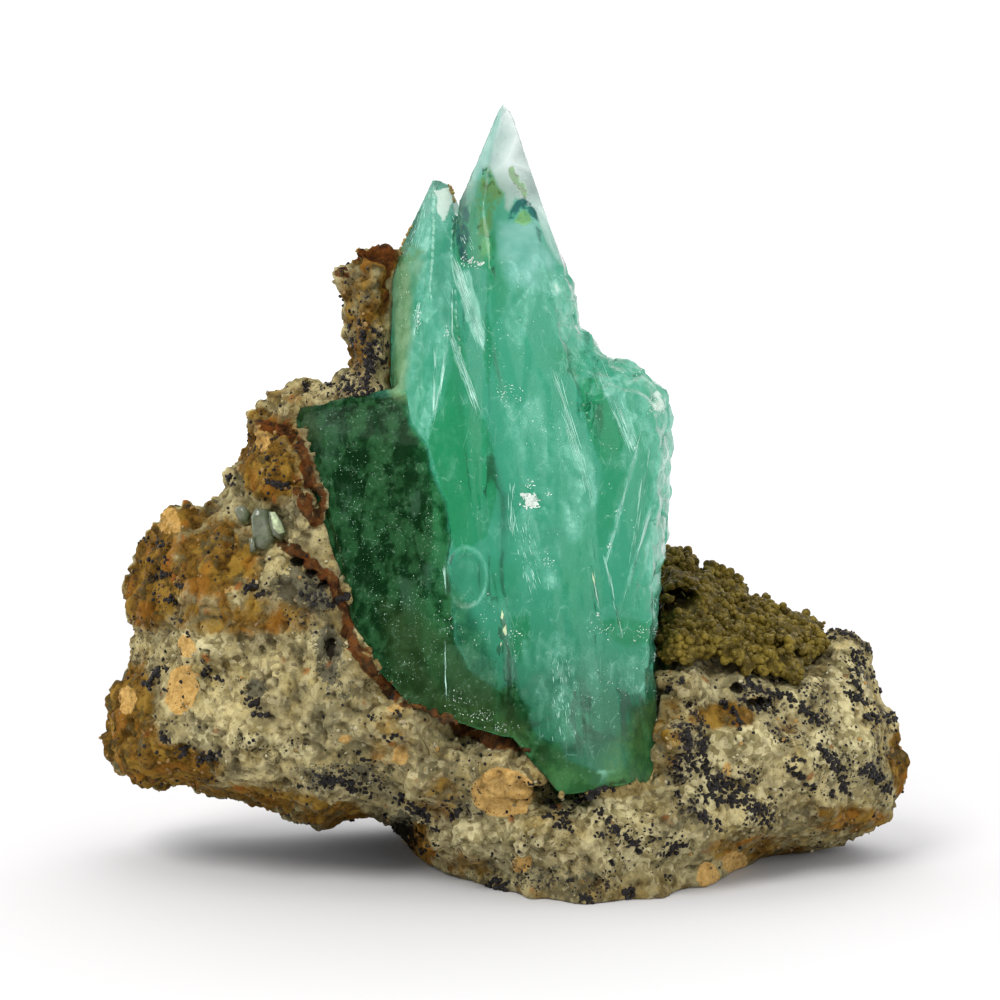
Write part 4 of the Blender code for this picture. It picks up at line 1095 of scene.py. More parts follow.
BLUE_Z = [([(499, 222), (537, 222), (542, 245), (536, 286), (508, 286), (497, 262)], 5, 0.62),
          ([(540, 240), (556, 262), (552, 272), (538, 262)], 4, 0.5),
          ([(502, 108), (500, 125), (489, 164), (480, 176), (473, 202), (461, 206), (463, 186), (474, 156)], 3, 0.60)]
TEAL = [([(463, 206), (467, 206), (470, 216), (467, 225), (462, 220)], 1.3, 1.0),
        ([(457, 226), (463, 221), (468, 228), (471, 240), (467, 252), (469, 263), (462, 262), (458, 252), (456, 238)], 1.3, 1.0),
        ([(507, 221), (511, 208), (517, 200), (523, 202), (519, 211), (513, 219)], 1.3, 1.0),
        ([(517, 200), (524, 197), (531, 203), (537, 212), (539, 222), (532, 217), (527, 211), (521, 208)], 1.3, 1.0),
        ([(535, 226), (541, 231), (541, 243), (537, 237)], 1.3, 0.9),
        ([(484, 306), (488, 300), (490, 350), (491, 410), (488, 424), (487, 370)], 1.5, 0.35)]
LIME_Z = [([(514, 222), (519, 213), (525, 208), (529, 213), (532, 222), (524, 226)], 1.3, 1.0),
          ([(508, 169), (513, 165), (516, 173), (520, 176), (521, 188), (514, 184), (511, 179)], 1.3, 0.8),
          ([(518, 183), (524, 182), (528, 191), (526, 200), (522, 197), (519, 190)], 1.3, 0.8),
          ([(482, 236), (492, 240), (490, 258), (480, 254)], 2.5, 0.5)]
WHITE = [([(434, 190), (452, 187), (453, 200), (447, 220), (442, 224), (437, 208)], 3, 0.90),
         ([(650, 392), (660, 388), (669, 398), (668, 414), (656, 410)], 2, 0.62),
         ([(551, 282), (558, 280), (563, 290), (556, 295)], 2, 0.45),
         ([(455, 278), (462, 272), (472, 296), (476, 318), (468, 318), (460, 296)], 3, 0.28)]


def fine_front(me):
    """Twice as fine a mesh where the crystal is seen from the front."""
    bm = bmesh.new()
    bm.from_mesh(me)
    faces = [f for f in bm.faces if f.normal.y < -0.05 or (f.normal.z > 0.5 and f.normal.y < 0.3)]
    edges = {e for f in faces for e in f.edges}
    bmesh.ops.subdivide_edges(bm, edges=list(edges), cuts=1, use_grid_fill=True)
    out = bpy.data.meshes.new("crystal_fine")
    bm.to_mesh(out)
    bm.free()
    out.shade_smooth()
    return out


def plate_tip(co, no, u, v):
    """The clear point: a plate with nearly parallel faces, bevelled at its edges."""
    reach = smooth(345, 190, v) * smooth(-6, 26, u - np.interp(v, [100, 172, 200, 270], [425, 456, 464, 474])) * smooth(590, 560, u)
    free = (v > 112) & (v < 168) & (u > 455)
    lo, hi = [], []
    for a in np.arange(114, 168, 3.0):
        row = free & (np.abs(v - a) < 1.5)
        if row.sum() > 4:
            lo.append((a, u[row].min()))
            hi.append((a, u[row].max()))
    for a in np.arange(168, 250, 4.0):
        row = (u > 500) & (np.abs(v - a) < 2.0)
        if row.sum() > 4:
            hi.append((a, u[row].max()))
    left = np.polyfit(*zip(*lo), 1)
    right = np.polyfit(*zip(*hi), 2)
    e = np.minimum(u - np.polyval(left, v), np.polyval(right, v) - u) / 16.0
    # the left facet slopes away from a crease that runs down from the point
    crease = np.interp(v, [106, 165, 262], [503, 489, 476])
    slope = np.clip((crease - u) / 16.0, 0, None) * 0.30
    half = np.interp(v, [106, 140, 200, 262, 345], [0.30, 0.75, 1.6, 2.9, 4.2])
    mid = np.interp(v, [106, 140, 200, 262, 345], [-4.1, -4.0, -3.6, -3.55, -3.9]) + 0.05 * (u - 505) / 16.0
    h = half * np.clip(0.35 + (e + 0.05) / 0.14, 0, 1)
    side = np.where(no[:, 1] < 0, -1.0, 1.0)
    flat = mid + side * h + np.where(no[:, 1] < 0, np.minimum(slope, h * 0.9), 0.0)
    out = co.copy()
    out[:, 1] = co[:, 1] * (1 - reach) + flat * reach
    return out, e


def make_crystal():
    me = fine_front(remesh(cad_mesh("phosphophyllite_crystal"), 0.245))
    co, no = get_co(me), get_no(me)
    u, v = elevation(co)
    tip = smooth(300, 235, v) * smooth(440, 470, u)
    side = smooth(300, 240, v) * smooth(470, 440, u)
    # ragged, scalloped edge on the right and over the shoulders
    edge = smooth(0.30, 0.85, no[:, 0]) * smooth(540, 575, u) * smooth(740, 640, v) + \
        smooth(0.3, 0.8, no[:, 2]) * smooth(555, 580, u) * smooth(460, 380, v)
    edge = np.clip(edge, 0, 1) * smooth(248, 275, v)
    f1, f2, cell = worley(co / np.array([1.6, 2.6, 1.35]), 61)
    d = edge * (0.42 * (0.50 - f1) + 0.18 * (cell - 0.6))
    f1, f2, cell = worley(co / np.array([0.55, 0.9, 0.6]), 62)
    d += edge * 0.10 * (0.5 - f1)
    # parallel laths: long flat facets with small steps and a tilt of their own
    plain = (1 - edge) * (1 - np.maximum(tip, 0.7 * side))
    fan = np.where(u > 590, 0.16, -0.10) * smooth(800, 400, v)
    lath = co.copy()
    lath[:, 0] -= fan * (co[:, 2] - 20.0)
    f1, f2, cell = worley(lath / np.array([2.3, 3.4, 10.0]), 67)
    d += plain * 0.12 * (cell - 0.5) * smooth(0.0, 0.20, f2 - f1)
    d += plain * 0.020 * perlin(lath / np.array([1.1, 1.6, 5.0]), 65)
    f1, f2, cell = worley(lath / np.array([0.9, 1.4, 2.4]), 68)
    d += plain * (0.012 + 0.035 * smooth(480, 640, v)) * (cell - 0.5) * smooth(0.0, 0.35, f2 - f1)
    back_w = smooth(-0.1, 0.4, no[:, 1])
    f1, f2, cell = worley(lath / np.array([1.3, 2.0, 5.5]), 69)
    d += plain * back_w * 0.22 * (cell - 0.5) * smooth(0.0, 0.2, f2 - f1)
    # steps along the edge of the dark part, where one lath stands in front of the other
    front = smooth(0.15, -0.35, no[:, 1])
    d -= 0.40 * zones(u, v, [(DARK_Z[0][0], 2.0, 1.0)]) * front * smooth(690, 560, v)
    r = np.hypot((u - 466) / 20.0, (v - 577) / 30.0)
    d -= 0.12 * smooth(1.1, 0.85, r) * front
    co2 = co + no * d[:, None]
    co2, rim = plate_tip(co2, no, u, v)
    co2[:, 2] += 0.32 * smooth(170, 108, v) * smooth(470, 485, u)
    set_co(me, co2)
    wob = 1.6 * perlin(co / 0.9, 71) + 0.8 * perlin(co / 0.4, 72)
    for name, table in (("clear", CLEAR), ("milk", MILK), ("deep", DEEP_Z), ("dark", DARK_Z), ("olive", OLIVE_Z),
                        ("yellow", YELLOW), ("blue", BLUE_Z), ("white", WHITE), ("moss", MOSS)):
        k = 0.25 if name == "clear" else 1.0
        values = zones(u + k * wob, v, table)
        if name == "milk":
            values = np.maximum(values, 0.75 * np.exp(-((r - 1.0) / 0.10) ** 2)) * (1 - 0.6 * smooth(0.95, 0.75, r))
        if name == "dark":
            under = smooth(740, 760, v) * smooth(-0.1, -0.4, no[:, 2])
            values = np.maximum(values, np.maximum(0.28 * smooth(0.95, 0.75, r), under))
        put(me, name, values)
    lit = fbm(co / np.array([1.5, 1.5, 2.6]), 4, 74)
    put(me, "cloud", lit)
    # facet tone: a random tone for each lath cell, and a gradient across each cell that is painted light and shade as
    # on tilted facets
    facet_tone_and_shade = np.zeros(len(co))
    for size, k, seed in (((1.5, 2.4, 4.2), 1.0, 75), ((0.75, 1.2, 1.6), 0.75, 76), ((0.42, 0.8, 0.7), 0.45, 77)):
        q = lath / np.array(size) + 0.35 * np.stack([perlin(co / 1.1, seed + 20 + k2) for k2 in range(3)], 1)
        f1, f2, cell = worley(q, seed)
        gx, gy, ga = worley(q + np.array([0.16, 0.0, 0.10]), seed)
        facet_tone_and_shade += k * ((cell - 0.5) * 0.8 + 1.3 * (gx - f1))
    put(me, "facet_tone_and_shade", facet_tone_and_shade)
    # painted shade: grey along the edges of the clear point and down its crease
    crease = np.abs(u - np.interp(v, [106, 165, 262], [503, 489, 476])) / 16.0
    painted_edge_shade = np.maximum(smooth(0.13, 0.02, rim), 0.6 * smooth(0.11, 0.02, crease) * smooth(215, 180, v) * (no[:, 1] < 0))
    put(me, "painted_edge_shade", painted_edge_shade * smooth(264, 244, v) * smooth(450, 458, u))
    put(me, "teal", zones(u, v, TEAL) * smooth(0.1, -0.2, no[:, 1]))
    put(me, "lime", zones(u, v, LIME_Z) * smooth(0.1, -0.2, no[:, 1]))
    put(me, "skin", np.clip(edge + smooth(0.35, 0.0, np.abs(no[:, 1])) * smooth(262, 280, v), 0, 1))
    # painted shade towards the bottom
    put(me, "low", smooth(560, 770, v + 14 * perlin(co / 2.5, 73)) * smooth(395, 470, u))
    me = thin(me, 194000, no[:, 1] < 0.05)
    me.set_sharp_from_angle(angle=math.radians(35))
    return me


# ------------------------------------------------------- inside the crystal
def front_plane(outline):
    """Depth plane through the front face of the crystal under an outline."""
    rows, ys = [], []
    cu = sum(p[0] for p in outline) / len(outline)
    cv = sum(p[1] for p in outline) / len(outline)
    for u, v in list(outline) + [(cu, cv)]:
        for k in (1.0, 0.8, 0.5):
            a, b = cu + (u - cu) * k, cv + (v - cv) * k
            d = (sight(a, b, 0.0) - EYE).normalized()
            hit = crystal_tree.ray_cast(EYE, d)
            if hit[0] is not None:
                rows.append((1.0, a - cu, b - cv))
                ys.append(hit[0].y - SHIFT.y)
    fit = np.linalg.lstsq(np.array(rows), np.array(ys), rcond=None)[0]
    return cu, cv, fit


def sheet(outline, deep, thick=0.035, wave=0.12, seed=1, turn=0.0):
    """Thin closed wavy plane on an outline of (u, v) stations, deep mm under the
    front face; turn is how many mm it sinks over 100 units to the right."""
    cu, cv, fit = front_plane(outline)

    def depth(u, v):
        return fit[0] + fit[1] * (u - cu) + fit[2] * (v - cv) + deep + turn * (u - cu) / 100.0

    bm = bmesh.new()
    vs = [bm.verts.new(sight(u, v, depth(u, v))) for u, v in outline]
    bm.faces.new(vs)
    bmesh.ops.triangulate(bm, faces=bm.faces[:])
    for _ in range(6):
        long = [e for e in bm.edges if e.calc_length() > 0.7]
        if not long:
            break
        bmesh.ops.subdivide_edges(bm, edges=long, cuts=1)
        bmesh.ops.triangulate(bm, faces=bm.faces[:])
    co = np.array([w.co[:] for w in bm.verts])
    dy = wave * fbm(co / 2.3, 2, seed)
    for w, k in zip(bm.verts, dy):
        w.co.y += k
    bm.verts.index_update()
    top = [[w.index for w in f.verts] for f in bm.faces]
    rim = [(e.verts[0].index, e.verts[1].index) for e in bm.edges if len(e.link_faces) == 1]
    co = np.array([w.co[:] for w in bm.verts])
    n = len(co)
    bm.free()
    under = co + np.array([0.0, thick, 0.0])
    faces = top + [[i + n for i in f][::-1] for f in top] + [[i, j, j + n, i + n] for i, j in rim]
    me = mesh_of("sheet", np.concatenate([co, under]), faces)
    bm = bmesh.new()
    bm.from_mesh(me)
    bmesh.ops.recalc_face_normals(bm, faces=bm.faces[:])
    bm.to_mesh(me)
    bm.free()
    return me


def join(name, meshes):
    cos, faces, n = [], [], 0
    for me in meshes:
        cos.append(get_co(me))
        faces += [[i + n for i in p.vertices] for p in me.polygons]
        n += len(me.vertices)
    return mesh_of(name, np.concatenate(cos), faces)


CHIPS = [  # bright cleavage chips, with their depth under the front face and how much they lean
    ([(502, 610), (506, 622), (503, 628), (500, 622)], 0.06, 0.45),
    ([(503, 629), (506, 624), (507, 634), (502, 641), (498, 634), (499, 626)], 0.06, -0.35),
    ([(500, 643), (502, 642), (500, 657), (496, 650)], 0.06, -0.30),
    ([(503, 642), (505, 641), (504, 650), (501, 656)], 0.06, 0.30),
    ([(592, 572), (594, 577), (598, 594), (598, 602), (595, 598), (593, 586)], 0.06, 0.2),
]
# painted glints, clusters of tiny bright flakes: centre, half width and height, how many, size in mm
GLINTS = [
    (530, 498, 4.5, 2.6, 80, 0.075), (531, 504, 5, 3.0, 80, 0.075), (524, 495, 2.5, 1.5, 26, 0.06), (530, 484, 4, 4, 12, 0.035),
    (548, 494, 3, 2, 6, 0.035), (500, 350, 30, 40, 40, 0.022), (600, 470, 30, 60, 36, 0.022), (480, 620, 20, 30, 30, 0.026), (545, 420, 30, 30, 30, 0.022), (471, 262, 3, 4, 18, 0.055), (480, 264, 4, 3, 18, 0.055), (464, 258, 2, 6, 10, 0.04),
    (508, 394, 12, 9, 50, 0.028), (418, 318, 3, 10, 30, 0.040), (447, 333, 2, 4, 8, 0.04), (655, 404, 6, 8, 40, 0.040),
    (548, 560, 5, 6, 18, 0.030), (609, 546, 1.5, 1.5, 5, 0.045), (598, 614, 2, 2, 5, 0.045), (604, 628, 16, 8, 34, 0.030),
    (640, 632, 9, 10, 26, 0.032), (620, 680, 24, 16, 30, 0.022), (480, 715, 14, 6, 40, 0.030), (500, 728, 14, 5, 30, 0.028),
    (455, 700, 12, 12, 30, 0.028), (655, 640, 2, 30, 24, 0.040), (657, 710, 1.5, 24, 30, 0.036), (666, 470, 5, 30, 30, 0.030),
    (420, 600, 26, 34, 60, 0.026), (375, 470, 34, 30, 70, 0.028), (395, 530, 34, 20, 80, 0.029), (345, 450, 24, 38, 46, 0.028), (430, 520, 8, 26, 46, 0.030),
    (370, 560, 20, 30, 60, 0.030), (385, 615, 14, 18, 46, 0.032), (415, 600, 14, 24, 56, 0.030),
    (400, 670, 30, 14, 60, 0.028), (360, 415, 24, 10, 44, 0.030), (350, 505, 12, 30, 46, 0.030), (430, 660, 12, 20, 36, 0.032),
    (450, 620, 12, 20, 30, 0.026), (516, 640, 8, 14, 24, 0.028), (480, 480, 16, 50, 16, 0.020), (530, 560, 24, 40, 40, 0.018),
    (590, 700, 34, 30, 60, 0.018), (560, 290, 12, 14, 20, 0.022), (640, 372, 14, 4, 16, 0.035), (580, 360, 18, 8, 14, 0.024),
    (436, 205, 10, 14, 14, 0.026), (480, 330, 10, 50, 26, 0.018), (404, 290, 6, 30, 16, 0.026), (560, 440, 30, 60, 40, 0.016),
    (634, 448, 2, 6, 8, 0.03), (617, 512, 2, 4, 8, 0.03), (515, 275, 14, 14, 16, 0.018), (556, 276, 6, 4, 8, 0.03),
]
# needle bundles: start, end, half width across, how many, length share, fan in degrees
NEEDLES = [
    ((435, 352), (434, 412), 1.2, 22, 0.6, 2.0), ((446, 352), (436, 412), 1.2, 22, 0.6, 2.0),
    ((419, 304), (414, 334), 2.2, 40, 0.5, 5.0), ((444, 570), (446, 600), 1.0, 14, 0.6, 3.0),
    ((592, 568), (598, 604), 1.2, 14, 0.6, 2.0), ((457, 268), (482, 338), 5.5, 170, 0.5, 3.0),
    ((452, 340), (477, 408), 3.0, 70, 0.45, 3.0), ((603, 376), (632, 446), 6.5, 80, 0.6, 2.0),
    ((557, 384), (590, 490), 4.0, 60, 0.4, 3.0), ((638, 444), (607, 560), 1.0, 40, 0.5, 1.0),
    ((669, 448), (627, 590), 1.0, 46, 0.5, 1.0), ((661, 479), (637, 560), 1.2, 20, 0.5, 1.5),
    ((652, 430), (632, 560), 3.0, 24, 0.4, 1.5), ((606, 562), (622, 638), 1.4, 30, 0.5, 1.5),
    ((512, 485), (513, 530), 3.0, 30, 0.4, 3.0), ((520, 520), (536, 590), 9.0, 50, 0.16, 5.0),
    ((445, 646), (446, 700), 0.8, 26, 0.35, 2.0), ((452, 290), (453, 350), 1.0, 20, 0.4, 2.0),
    ((657, 684), (657, 740), 0.7, 20, 0.4, 2.0), ((560, 660), (566, 740), 14.0, 60, 0.10, 5.0),
    ((455, 215), (470, 250), 6.0, 30, 0.25, 8.0), ((425, 195), (410, 245), 8.0, 30, 0.25, 6.0),
]


def shard(p0, p1, width, rng):
    """A sliver, pointed at both ends, from p0 to p1."""
    axis = p1 - p0
    a = axis.normalized().cross(Vector((rng.normal(), rng.normal(), rng.normal()))).normalized()
    b = axis.normalized().cross(a)
    ring = [(a, 1), (b, 0.45), (a, -1), (b, -0.45)]
    out = [p0]
    for t in (0.3, 0.72):
        c = p0 + axis * t
        out += [c + e * (k * width * 0.5) for e, k in ring]
    out.append(p1)
    faces = [[0, 1 + (i + 1) % 4, 1 + i] for i in range(4)]
    faces += [[1 + i, 1 + (i + 1) % 4, 5 + (i + 1) % 4, 5 + i] for i in range(4)]
    faces += [[9, 5 + i, 5 + (i + 1) % 4] for i in range(4)]
    return out, faces


def needles(tree, rng):
    cos, fs, tone, n = [], [], [], 0
    for (u0, v0), (u1, v1), spread, count, share, fan in NEEDLES:
        ax, ay = u1 - u0, v1 - v0
        long = math.hypot(ax, ay)
        ax, ay = ax / long, ay / long
        for _ in range(count):
            t = rng.uniform(0, 1)
            off = rng.normal(0, spread * 0.55)
            cu, cv = u0 + ax * long * t - ay * off, v0 + ay * long * t + ax * off
            turn = math.radians(rng.normal(0, fan))
            dx, dy = ax * math.cos(turn) - ay * math.sin(turn), ax * math.sin(turn) + ay * math.cos(turn)
            half = long * share * rng.uniform(0.3, 1.0) * 0.5
            deep = -0.006 if rng.random() < 0.85 else 0.02 + abs(rng.normal(0, 0.2))
            ends = []
            for k in (-half, half):
                d = (sight(cu + dx * k, cv + dy * k, 0.0) - EYE).normalized()
                hit = tree.ray_cast(EYE, d)
                if hit[0] is None:
                    break
                through = tree.ray_cast(hit[0] + d * 0.02, d)
                if through[0] is None or through[3] < deep + 0.15:
                    break
                ends.append(hit[0] + d * deep)
            if len(ends) < 2 or (ends[0] - ends[1]).length > half * 2 / 16.0 * 1.8 + 0.3:
                continue
            c, f = shard(ends[0], ends[1], rng.uniform(0.013, 0.033), rng)
            cos.append(np.array([w[:] for w in c]))
            fs += [[i + n for i in g] for g in f]
            n += len(c)
    return mesh_of("needles", np.concatenate(cos), fs, False)


def chip(outline, deep, lean, tree):
    """A small plate that follows the front face at a given depth."""
    cu = sum(p[0] for p in outline) / len(outline)
    cv = sum(p[1] for p in outline) / len(outline)
    d = (sight(cu, cv, 0.0) - EYE).normalized()
    hit = tree.ray_cast(EYE, d)
    y = hit[0].y - SHIFT.y + deep
    co = [sight(u, v, y + lean * (u - cu) / 16.0) for u, v in outline]
    co.append(sight(cu, cv, y - 0.05))
    n = len(outline)
    co += [sight(u, v, y + 0.06 + lean * (u - cu) / 16.0) for u, v in outline]
    faces = [[n, i, (i + 1) % n] for i in range(n)]
    faces += [[i, n + 1 + i, n + 1 + (i + 1) % n, (i + 1) % n] for i in range(n)]
    faces.append([n + 1 + i for i in range(n)][::-1])
    me = mesh_of("chip", np.array([c[:] for c in co]), faces, False)
    bm = bmesh.new()
    bm.from_mesh(me)
    bmesh.ops.recalc_face_normals(bm, faces=bm.faces[:])
    bm.to_mesh(me)
    bm.free()
    return me


DEEP = [  # dark teal patches near the tip
    ([(463, 208), (466, 207), (468, 214), (466, 222), (463, 220)], 0.15, 0.5),
    ([(458, 226), (463, 222), (466, 228), (469, 240), (466, 250), (468, 262), (463, 260), (459, 252), (457, 238)], 0.12, 0.5),
    ([(509, 219), (512, 208), (517, 202), (521, 204), (518, 211), (513, 216)], 0.15, 0.4),
    ([(519, 201), (524, 199), (530, 204), (535, 212), (537, 220), (532, 215), (527, 209), (521, 207)], 0.15, 0.4),
    ([(536, 226), (541, 232), (540, 242), (537, 236)], 0.15, 0.4),
]
LIME = [([(508, 170), (511, 166), (514, 168), (515, 173), (519, 176), (518, 182), (521, 184), (519, 188), (514, 184),
           (511, 179), (509, 176)], 0.2, 0.3),
        ([(519, 184), (523, 183), (524, 188), (527, 191), (526, 199), (523, 197), (521, 192), (517, 188)], 0.2, 0.3),
        ([(515, 221), (519, 215), (524, 210), (527, 213), (530, 216), (531, 221), (524, 223)], 0.035, 0.05)]
OLIVE = [(486, 170, 3), (488, 176, 3.5), (492, 184, 3), (498, 192, 3), (486, 186, 3), (481, 226, 3), (488, 238, 3),
         (483, 250, 3), (478, 216, 2.5)]
BROWN = [(463, 179, 3.5), (460, 185, 4), (457, 192, 4), (455, 200, 3), (465, 175, 2.5), (461, 196, 3),
         (404, 232, 3.5), (401, 237, 4), (398, 241, 3), (407, 229, 2.5), (395, 246, 3), (392, 251, 3), (412, 226, 2),
         (399, 253, 4), (405, 256, 3)]


def surface_blobs(stations, rng):
    """Small grains seated on whatever crystal face lies nearest to a station."""
    shape, faces = ico_shape(1)
    cos, fs, n = [], [], 0
    for u, v, r in stations:
        for _ in range(5):
            a, k = u + rng.normal(0, r * 0.45), v + rng.normal(0, r * 0.45)
            aim = sight(a, k, 2.4)
            near = crystal_tree.find_nearest(aim)
            c = near[0] + near[1] * 0.02
            if (c - aim).length > 2.2:
                continue
            rr = r / 16.0 * rng.uniform(0.35, 0.6)
            cos.append(shape * rr * rng.uniform(0.7, 1.3, 3) * (1 + 0.2 * rng.uniform(-1, 1, (len(shape), 1))) + np.array(c[:]))
            fs += (faces + n).tolist()
            n += len(shape)
    return cos, fs


def blobs(stations, rng, deep, size=1.0, seed=70, per=5):
    """Irregular little clots at stations (u, v, radius), deep mm under the face."""
    shape, faces = ico_shape(2)
    cos, fs, n = [], [], 0
    for u, v, r in stations:
        for _ in range(per):
            a, b = u + rng.normal(0, r * 0.5), v + rng.normal(0, r * 0.5)
            d = (sight(a, b, 0.0) - EYE).normalized()
            hit = crystal_tree.ray_cast(EYE, d)
            if hit[0] is None:
                continue
            rr = r / 16.0 * size * rng.uniform(0.35, 0.75)
            c = np.array((hit[0] + d * (deep + rr + abs(rng.normal(0, 0.25))))[:])
            w = shape * rr * rng.uniform(0.6, 1.3, 3)
            w *= (1 + 0.35 * perlin(w / rr * 1.7 + c, seed))[:, None]
            cos.append(w + c)
            fs += (faces + n).tolist()
            n += len(shape)
    return cos, fs


def glints(tree, rng, table, gain=1.0):
    """Painted glints: tiny bright flakes seated in the front faces."""
    cos, fs, n = [], [], 0
    shape = np.array([(-1, 0, -0.45), (0.2, 0.0, -1), (1, 0, 0.1), (0.35, 0, 1), (-0.6, 0, 0.7),
                      (-1, 0.5, -0.45), (0.2, 0.5, -1), (1, 0.5, 0.1), (0.35, 0.5, 1), (-0.6, 0.5, 0.7)])
    quad = [[4, 3, 2, 1, 0], [5, 6, 7, 8, 9]] + [[i, (i + 1) % 5, (i + 1) % 5 + 5, i + 5] for i in range(5)]
    for cu, cv, ru, rv, count, size in table:
        for _ in range(int(count * (1.4 if size > 0.033 else 0.95))):
            u, v = cu + rng.normal(0, 0.6) * ru, cv + rng.normal(0, 0.6) * rv
            hit = tree.ray_cast(EYE, (sight(u, v, 0.0) - EYE).normalized())
            if hit[0] is None:
                continue
            r = size * gain * rng.uniform(0.5, 1.3)
            rot = np.array(Matrix.Rotation(rng.normal(0, 0.4), 3, "X") @ Matrix.Rotation(rng.normal(0, 0.4), 3, "Z")
                           @ Matrix.Rotation(rng.uniform(0, 6.3), 3, "Y"))
            c = (shape * r * np.array([rng.uniform(0.35, 0.9), 0.5, rng.uniform(0.8, 1.6)])) @ rot.T
            cos.append(c + np.array((hit[0] + hit[1] * (0.003 + 0.17 * r))[:]))
            fs += [[k + n for k in f] for f in quad]
            n += len(shape)
    return mesh_of("glints", np.concatenate(cos), fs, False)


# --------------------------------------------------------------- vug crystals
def rock_depth(u, v):
    d = (sight(u, v, 0.0) - EYE).normalized()
    hit = rock_tree.ray_cast(EYE, d)
    return hit[0].y - SHIFT.y


def prism(outline, stand, back, lean):
    """A bladed prism: front outline, how far it stands out, its depth, and lean to the right."""
    cu = sum(p[0] for p in outline) / len(outline)
    cv = sum(p[1] for p in outline) / len(outline)
    y = min(rock_depth(cu + a, cv + b) for a in (-6, 0, 6) for b in (-8, 0, 8)) - stand
    co = [sight(cu + (u - cu) * 0.78, cv + (v - cv) * 0.86, y + lean * (u - cu) / 16.0)[:] for u, v in outline]
    co += [sight(u, v, y + 0.35 + lean * (u - cu) / 16.0)[:] for u, v in outline]
    co += [sight(u, v, y + back)[:] for u, v in outline]
    bm = bmesh.new()
    for c in co:
        bm.verts.new(c)
    bmesh.ops.convex_hull(bm, input=bm.verts[:])
    loose = [w for w in bm.verts if not w.link_faces]
    bmesh.ops.delete(bm, geom=loose, context="VERTS")
    bmesh.ops.recalc_face_normals(bm, faces=bm.faces[:])
    me = bpy.data.meshes.new("prism")
    bm.to_mesh(me)
    bm.free()
    return me


def plate(outline, stand, lean):
    cu = sum(p[0] for p in outline) / len(outline)
    cv = sum(p[1] for p in outline) / len(outline)
    y = min(rock_depth(cu + a, cv + b) for a in (-6, 0, 6) for b in (-8, 0, 8)) - stand
    n = len(outline)
    co = [sight(u, v, y + lean * (u - cu) / 16.0)[:] for u, v in outline]
    co += [sight(u, v, y + 0.12 + lean * (u - cu) / 16.0)[:] for u, v in outline]
    faces = [list(range(n)), [n + i for i in range(n)][::-1]] + [[i, n + i, n + (i + 1) % n, (i + 1) % n] for i in range(n)]
    me = mesh_of("plate", np.array(co), faces, False)
    bm = bmesh.new()
    bm.from_mesh(me)
    bmesh.ops.recalc_face_normals(bm, faces=bm.faces[:])
    bm.to_mesh(me)
    bm.free()
    return me


VUG_L = [([(251, 517), (256, 508), (268, 509), (272, 524), (274, 540), (266, 551), (256, 549), (252, 534)], 0.9, 2.6, 0.2),
         ([(235, 508), (244, 505), (250, 512), (249, 522), (241, 523), (236, 516)], 0.7, 2.0, -0.2),
         ([(249, 538), (254, 537), (256, 552), (250, 553)], 0.6, 2.0, 0.0)]
VUG_R = [([(268, 511), (276, 512), (284, 523), (287, 533), (280, 540), (273, 536), (269, 524)], 1.0, 2.4, 0.3)]
VUG_FACETS = [([(270, 512), (275, 512), (281, 522), (285, 532), (279, 534), (273, 528)], 1.06, 0.3)]


# ------------------------------------------------------------------- assembly
bpy.context.scene.view_settings.view_transform = "Standard"
bpy.context.scene.view_settings.look = "None"
make_stage()
make_lights()
make_camera()

crystal_me = make_crystal()
crystal_tree = bvh(crystal_me)
rock_me, rock_info = make_rock(crystal_tree)
rock_tree = bvh(rock_me)
black_me, pale_me = make_grains(rock_tree, rock_info)
crust_me, bead_me = make_crust(rock_tree)
inner = np.random.default_rng(3)

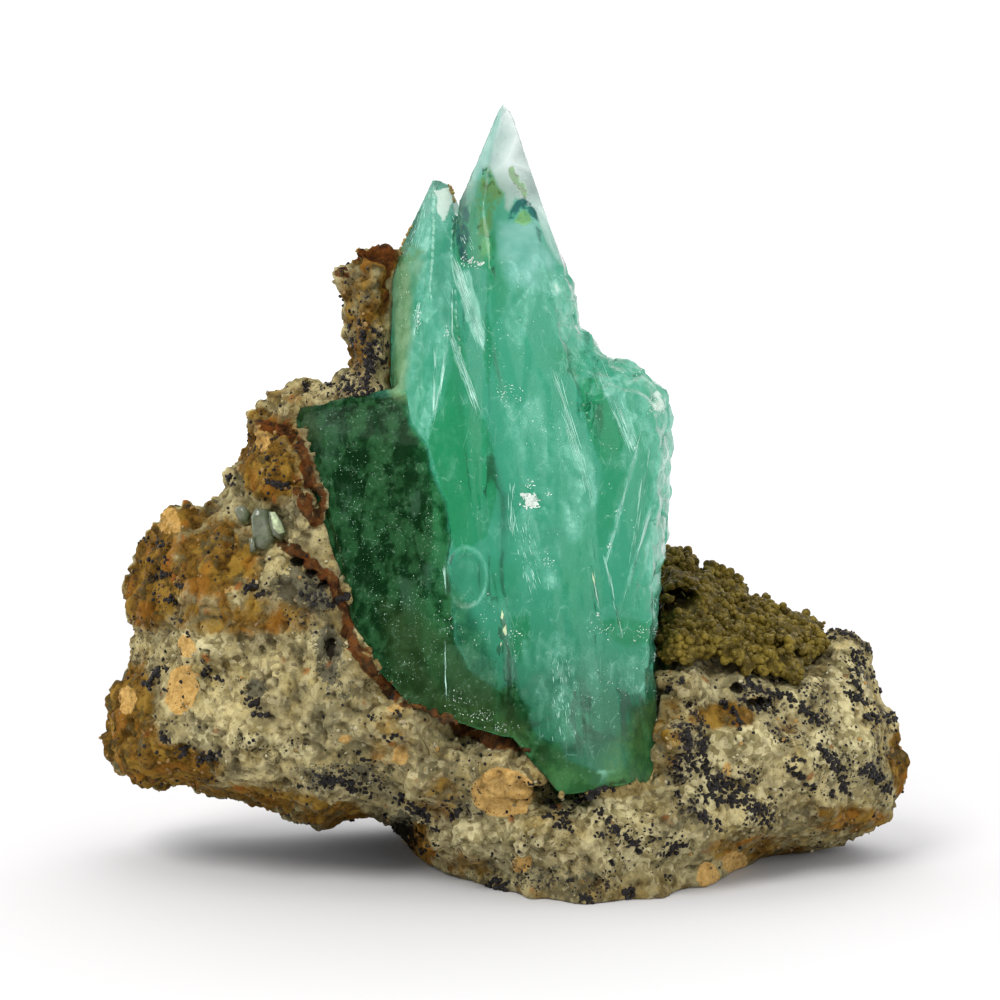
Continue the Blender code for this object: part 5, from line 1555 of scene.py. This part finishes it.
silk_mat = plain_material("silky_needle", (0.52, 0.88, 0.74), 0.35, spec=0.5, vary=0.2, scale=900)
deep_mat = veil_material("deep_teal_plane", (0.012, 0.085, 0.085), 1.0, 0.35, (2600, 2600, 1500))
olive_mat = plain_material("olive_inclusion", (0.22, 0.33, 0.075), 0.5)
lime_mat = plain_material("light_green_inclusion", (0.50, 0.76, 0.36), 0.5, vary=0.3, scale=3000)
glint_mat = plain_material("bright_glint", (0.80, 0.90, 0.83), 0.25, spec=0.8, vary=0.1)
dim_mat = plain_material("dim_glint", (0.25, 0.45, 0.31), 0.3, spec=0.6, vary=0.5, scale=9000)
chip_mat = plain_material("cleavage_chip", (0.50, 0.60, 0.36), 0.25, spec=0.6, vary=0.35, scale=2600)
brown_mat = plain_material("brown_grain", (0.26, 0.185, 0.05), 0.5, vary=0.45)

add("crystal_group", crystal_me, crystal_material(), ["phosphophyllite_crystal"])
add("rock", rock_me, stone_material(), ["matrix"])
add("sulphide_grains", black_me, sulphide_material())
add("mineral_grains", pale_me, grain_material())
druse = crust_material()
add("brown_crust", crust_me, druse, ["drusy_crust"])
add("crust_beads", bead_me, druse)

add("silky_needles", needles(crystal_tree, inner), silk_mat)
add("cleavage_chips", join("cleavage_chips", [chip(o, k, t, crystal_tree) for o, k, t in CHIPS]), chip_mat)
add("deep_planes", join("deep_planes", [sheet(o, k, 0.03, 0.05, 150 + i, t) for i, (o, k, t) in enumerate(DEEP)]), deep_mat)
cos, fs = blobs(OLIVE, inner, 0.3, 0.8, per=4)
add("olive_inclusions", mesh_of("olive_inclusions", np.concatenate(cos), fs), olive_mat)
add("light_green_inclusions", join("light_green_inclusions", [sheet(o, k, 0.05, 0.04, 190 + i, t) for i, (o, k, t) in enumerate(LIME)]), lime_mat)
# painted glints, dim and green in the dark part
in_dark = [g[0] < 448 and g[1] > 395 for g in GLINTS]
add("bright_glints", glints(crystal_tree, inner, [g for g, k in zip(GLINTS, in_dark) if not k], 1.15), glint_mat)
add("dim_glints", glints(crystal_tree, inner, [g for g, k in zip(GLINTS, in_dark) if k], 1.0), dim_mat)
cos, fs = surface_blobs(BROWN, inner)
add("brown_grains", mesh_of("brown_grains", np.concatenate(cos), fs, False), brown_mat)
vug = vug_material()
for name, parts in (("vug_crystal_left", VUG_L), ("vug_crystal_right", VUG_R)):
    add("grey_green_" + name[12:], join(name, [prism(*q) for q in parts]), vug, [name])
add("vug_facet", join("vug_facet", [plate(*q) for q in VUG_FACETS]), chip_mat)

sc = bpy.context.scene
sc.cycles.max_bounces = 7
sc.cycles.transmission_bounces = 7
sc.cycles.transparent_max_bounces = 6
sc.cycles.diffuse_bounces = 1
sc.cycles.glossy_bounces = 2
sc.cycles.sample_clamp_indirect = 4.0
